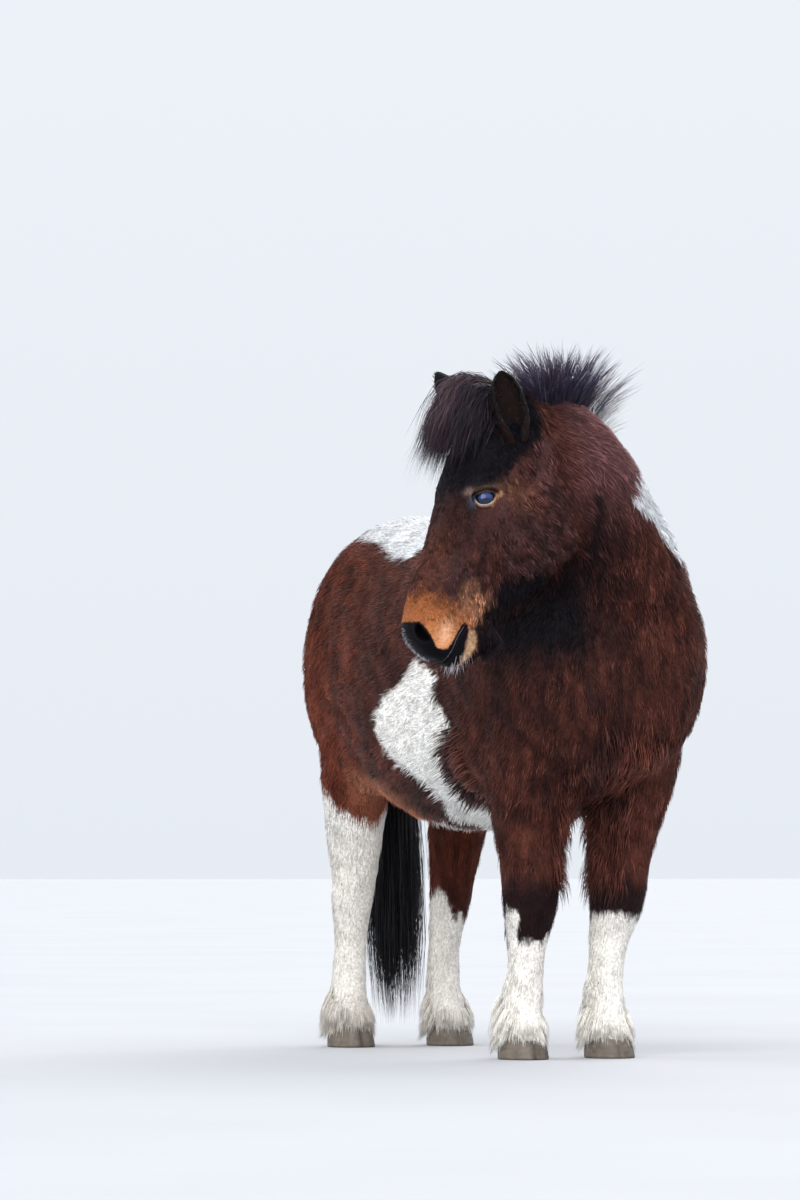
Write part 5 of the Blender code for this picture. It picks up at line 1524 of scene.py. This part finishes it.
def eye(side, letter):
    """The eyeball with its domed front."""
    centre, axes = eye_axes(side)
    mesh = bmesh.new()
    bmesh.ops.create_uvsphere(mesh, u_segments=64, v_segments=48, radius=EYE_RADIUS)
    for vertex in mesh.verts:
        z = vertex.co.z / EYE_RADIUS
        if z > 0.72:
            vertex.co *= 1 + 0.030 * float(ramp(z, 0.72, 0.95))
    made = object_of("eyeball_" + letter, mesh)
    places = places_of(made.data) @ axes + centre
    local = places_of(made.data)
    made.data.vertices.foreach_set("co", places.ravel())
    if side < 0:
        made.data.flip_normals()
    made.data.shade_smooth()
    x, y, z = (local / EYE_RADIUS).T
    radius = np.sqrt(x * x + y * y)
    iris = np.array((0.006, 0.011, 0.026))
    colours = mix(np.array((0.002, 0.002, 0.004))[None].repeat(len(x), 0), iris, ramp(-radius, -0.72, -0.60))
    # A blue band over the upper middle of the eye: a painted reflection of the sky.
    sky_reflection = np.sqrt((x / 0.64) ** 2 + ((y - 0.12) / 0.31) ** 2)
    colours = mix(colours, np.array((0.020, 0.044, 0.165)), ramp(-sky_reflection, -1.05, -0.60))
    slit = np.sqrt(((x - 0.05) / 0.34) ** 2 + ((y + 0.10) / 0.10) ** 2)
    colours = mix(colours, np.array((0.002, 0.001, 0.003)), 0.8 * ramp(-slit, -1.1, -0.7))
    colours = mix(colours, np.array((0.020, 0.018, 0.020)), ramp(radius, 0.80, 0.92) * (z > 0))
    paint(made, colours)
    return made


def eye_material():
    made, tree, shader = principled("wet_eye", 0.05, 0.0, 0.4)
    stored = add_node(tree, "ShaderNodeVertexColor", layer_name="coat")
    varied_colour(tree, shader, stored.outputs["Color"], noise(tree, 300), 0.8, 1.2)
    return made


def hoof(side, letter, name, out, back):
    """A hoof: a slanting wall with growth rings, rounded at its sole."""
    rows = []
    heights = np.linspace(0, 1, 22)
    for share in heights:
        height = 0.0007 + share * 0.080
        half = np.interp(height, (0, 0.006, 0.09), (0.0605, 0.0622, 0.0515))
        deep = np.interp(height, (0, 0.006, 0.09), (0.0675, 0.0692, 0.0565))
        shift = np.interp(height, (0, 0.006, 0.09), (-0.004, -0.003, 0.012))
        ripple = 1 + 0.006 * math.sin(share * 38)
        centre = Vector((side * out, back + shift, height - math.tan(HOOF_PITCH) * 0.0))
        rows.append(oval(centre, LEFT, BACK, half * ripple, deep * 0.86 * ripple, deep * ripple, sides=56))
    mesh = bmesh.new()
    loft(mesh, rows)
    for vertex in mesh.verts:
        if vertex.co.z > 0.03:
            slope = (vertex.co.y - back) * math.tan(HOOF_PITCH)
            share = (vertex.co.z - 0.03) / 0.05
            vertex.co.z += share * (slope - 0.022)
    made = object_of(f"{name}_hoof_wall_{letter}", mesh)
    made.data.shade_smooth()
    places = places_of(made.data)
    stripe = waves(np.stack([np.arctan2(places[:, 0] - side * out, places[:, 1] - back), np.zeros(len(places)), np.zeros(len(places))], 1), 0.5, 71)
    colours = mix(np.array((0.13, 0.105, 0.08))[None].repeat(len(places), 0), np.array((0.05, 0.042, 0.036)), np.clip(0.5 + 0.5 * stripe, 0, 1))
    paint(made, colours)
    return made


def hoof_material():
    made, tree, shader = principled("hoof_horn", 0.5, 0.0, 0.4)
    stored = add_node(tree, "ShaderNodeVertexColor", layer_name="coat")
    texture = noise(tree, 60)
    varied_colour(tree, shader, stored.outputs["Color"], texture, 0.7, 1.3)
    add_bump(tree, shader, texture.outputs["Fac"], 0.3, 0.002)
    return made


coat_hair = hair_material("winter_coat")
long_hair = hair_material("long_hair", 0.38, 0.0, 0.35)
skin_look = skin_material("bare_skin")
LETTERS = ((1, "l"), (-1, "r"))

skin, outline = make_skin()
skin_tree = BVHTree.FromPolygons([v.co for v in skin.data.vertices], [p.vertices for p in skin.data.polygons])
ears = [ear(side, letter) for side, letter in LETTERS]
for (side, letter), obj in zip(LETTERS, ears):
    paint(obj, ear_colours(obj, side))
lid_rings = [lids(side, letter, skin_tree) for side, letter in LETTERS]
coat = coat_of(skin, "coat", coat_density)
coat += coat_of(skin, "fringe", fringe_density, size=lambda places: np.full(len(places), 0.060), bent_share=1.0, rise=16)
for (side, letter), obj in zip(LETTERS, lid_rings):
    coat += coat_of(obj, "lid_coat_" + letter, lid_density)
long_pieces = mane() + forelock() + whiskers(skin_tree)
for (side, letter), obj in zip(LETTERS, ears):
    long_pieces += ear_fur(obj, side, letter) + lashes(side, letter)
tail_pieces = tail()
feathers = feather()
flesh_nodes = [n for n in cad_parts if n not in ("tail", "ear_l", "ear_r") and not n.startswith("eye") and "hoof" not in n]
dress([skin], skin_look, "brown_coat", *flesh_nodes)
dress(lid_rings, skin_look, "brown_coat")
for (side, letter), obj in zip(LETTERS, ears):
    dress([obj], skin_look, "black_hair", "ear_" + letter)
    dress([eye(side, letter)], eye_material(), "eye", "eye_" + letter)
dress(coat, coat_hair, "brown_coat")
dress(long_pieces, long_hair, "black_hair")
dress([tail_core()], skin_look, "black_hair", "tail")
dress(tail_pieces, long_hair, "black_hair")
dress(feathers, coat_hair, "white_coat")
horn = hoof_material()
for name, (out, back) in (("fore", FORE_FOOT), ("hind", HIND_FOOT)):
    for side, letter in LETTERS:
        dress([hoof(side, letter, name, out, back)], horn, "horn", f"{name}_hoof_{letter}")

# Floor, light and camera


def soft_light(name, place, strength, colour):
    """A far, very soft light from one side."""
    data = bpy.data.lights.new(name, "SUN")
    data.angle = math.radians(50)
    data.energy = strength
    data.color = colour
    light = bpy.data.objects.new(name, data)
    bpy.context.collection.objects.link(light)
    light.rotation_euler = Vector(place).to_track_quat("Z", "Y").to_euler()


def stage():
    mesh = bmesh.new()
    bmesh.ops.create_grid(mesh, x_segments=1, y_segments=1, size=400)
    floor = object_of("floor", mesh)
    made, tree, shader = principled("pale_floor", 0.85)
    base = tree.nodes.new("ShaderNodeRGB")
    base.outputs[0].default_value = (0.46, 0.475, 0.50, 1)
    varied_colour(tree, shader, base.outputs[0], noise(tree, 0.8), 0.97, 1.03)
    floor.data.materials.append(made)
    world = bpy.data.worlds.new("soft_sky")
    world.use_nodes = True
    tree = world.node_tree
    back = tree.nodes["Background"]
    back.inputs["Strength"].default_value = 1.0
    split, level, tint = (tree.nodes.new("ShaderNode" + kind) for kind in ("SeparateXYZ", "MapRange", "Mix"))
    tree.links.new(tree.nodes.new("ShaderNodeTexCoord").outputs["Generated"], split.inputs[0])
    tree.links.new(split.outputs["Z"], level.inputs["Value"])
    tint.data_type = "RGBA"
    tree.links.new(level.outputs["Result"], tint.inputs["Factor"])
    tint.inputs["A"].default_value = (0.80, 0.84, 0.90, 1)
    tint.inputs["B"].default_value = (1.06, 1.10, 1.16, 1)
    tree.links.new(tint.outputs["Result"], back.inputs["Color"])
    bpy.context.scene.world = world
    soft_light("key", (-3.2, -5.0, 3.4), 2.3, (1.0, 0.98, 0.95))
    soft_light("left", (3.4, 2.2, 3.0), 1.6, (1.0, 0.95, 0.93))
    soft_light("right", (-3.8, 2.6, 3.0), 0.7, (1.0, 0.97, 0.94))


def camera():
    turn = math.radians(25)
    right = Vector((math.cos(turn), -math.sin(turn), 0))
    view = Vector((math.sin(turn), math.cos(turn), 0))
    focal, height = 4896.0, 1200.0
    pitch = math.atan(274 / focal)
    data = bpy.data.cameras.new("photo")
    data.sensor_fit = "VERTICAL"
    data.sensor_height = 36
    data.lens = focal * 36 / height
    made = bpy.data.objects.new("photo", data)
    bpy.context.collection.objects.link(made)
    made.location = right * -0.407 - view * 12 + Vector((0, 0, 0.45)) + SHIFT
    way = view * math.cos(pitch) + UP * math.sin(pitch)
    made.rotation_euler = way.to_track_quat("-Z", "Y").to_euler()
    bpy.context.scene.camera = made


stage()
camera()
bpy.context.scene.view_settings.view_transform = "Standard"
shown = [obj for obj in bpy.data.objects if obj.type == "MESH" and not obj.hide_render]
for obj in shown:
    obj.data.calc_loop_triangles()
print("pieces", len(shown), "triangles", sum(len(obj.data.loop_triangles) for obj in shown))
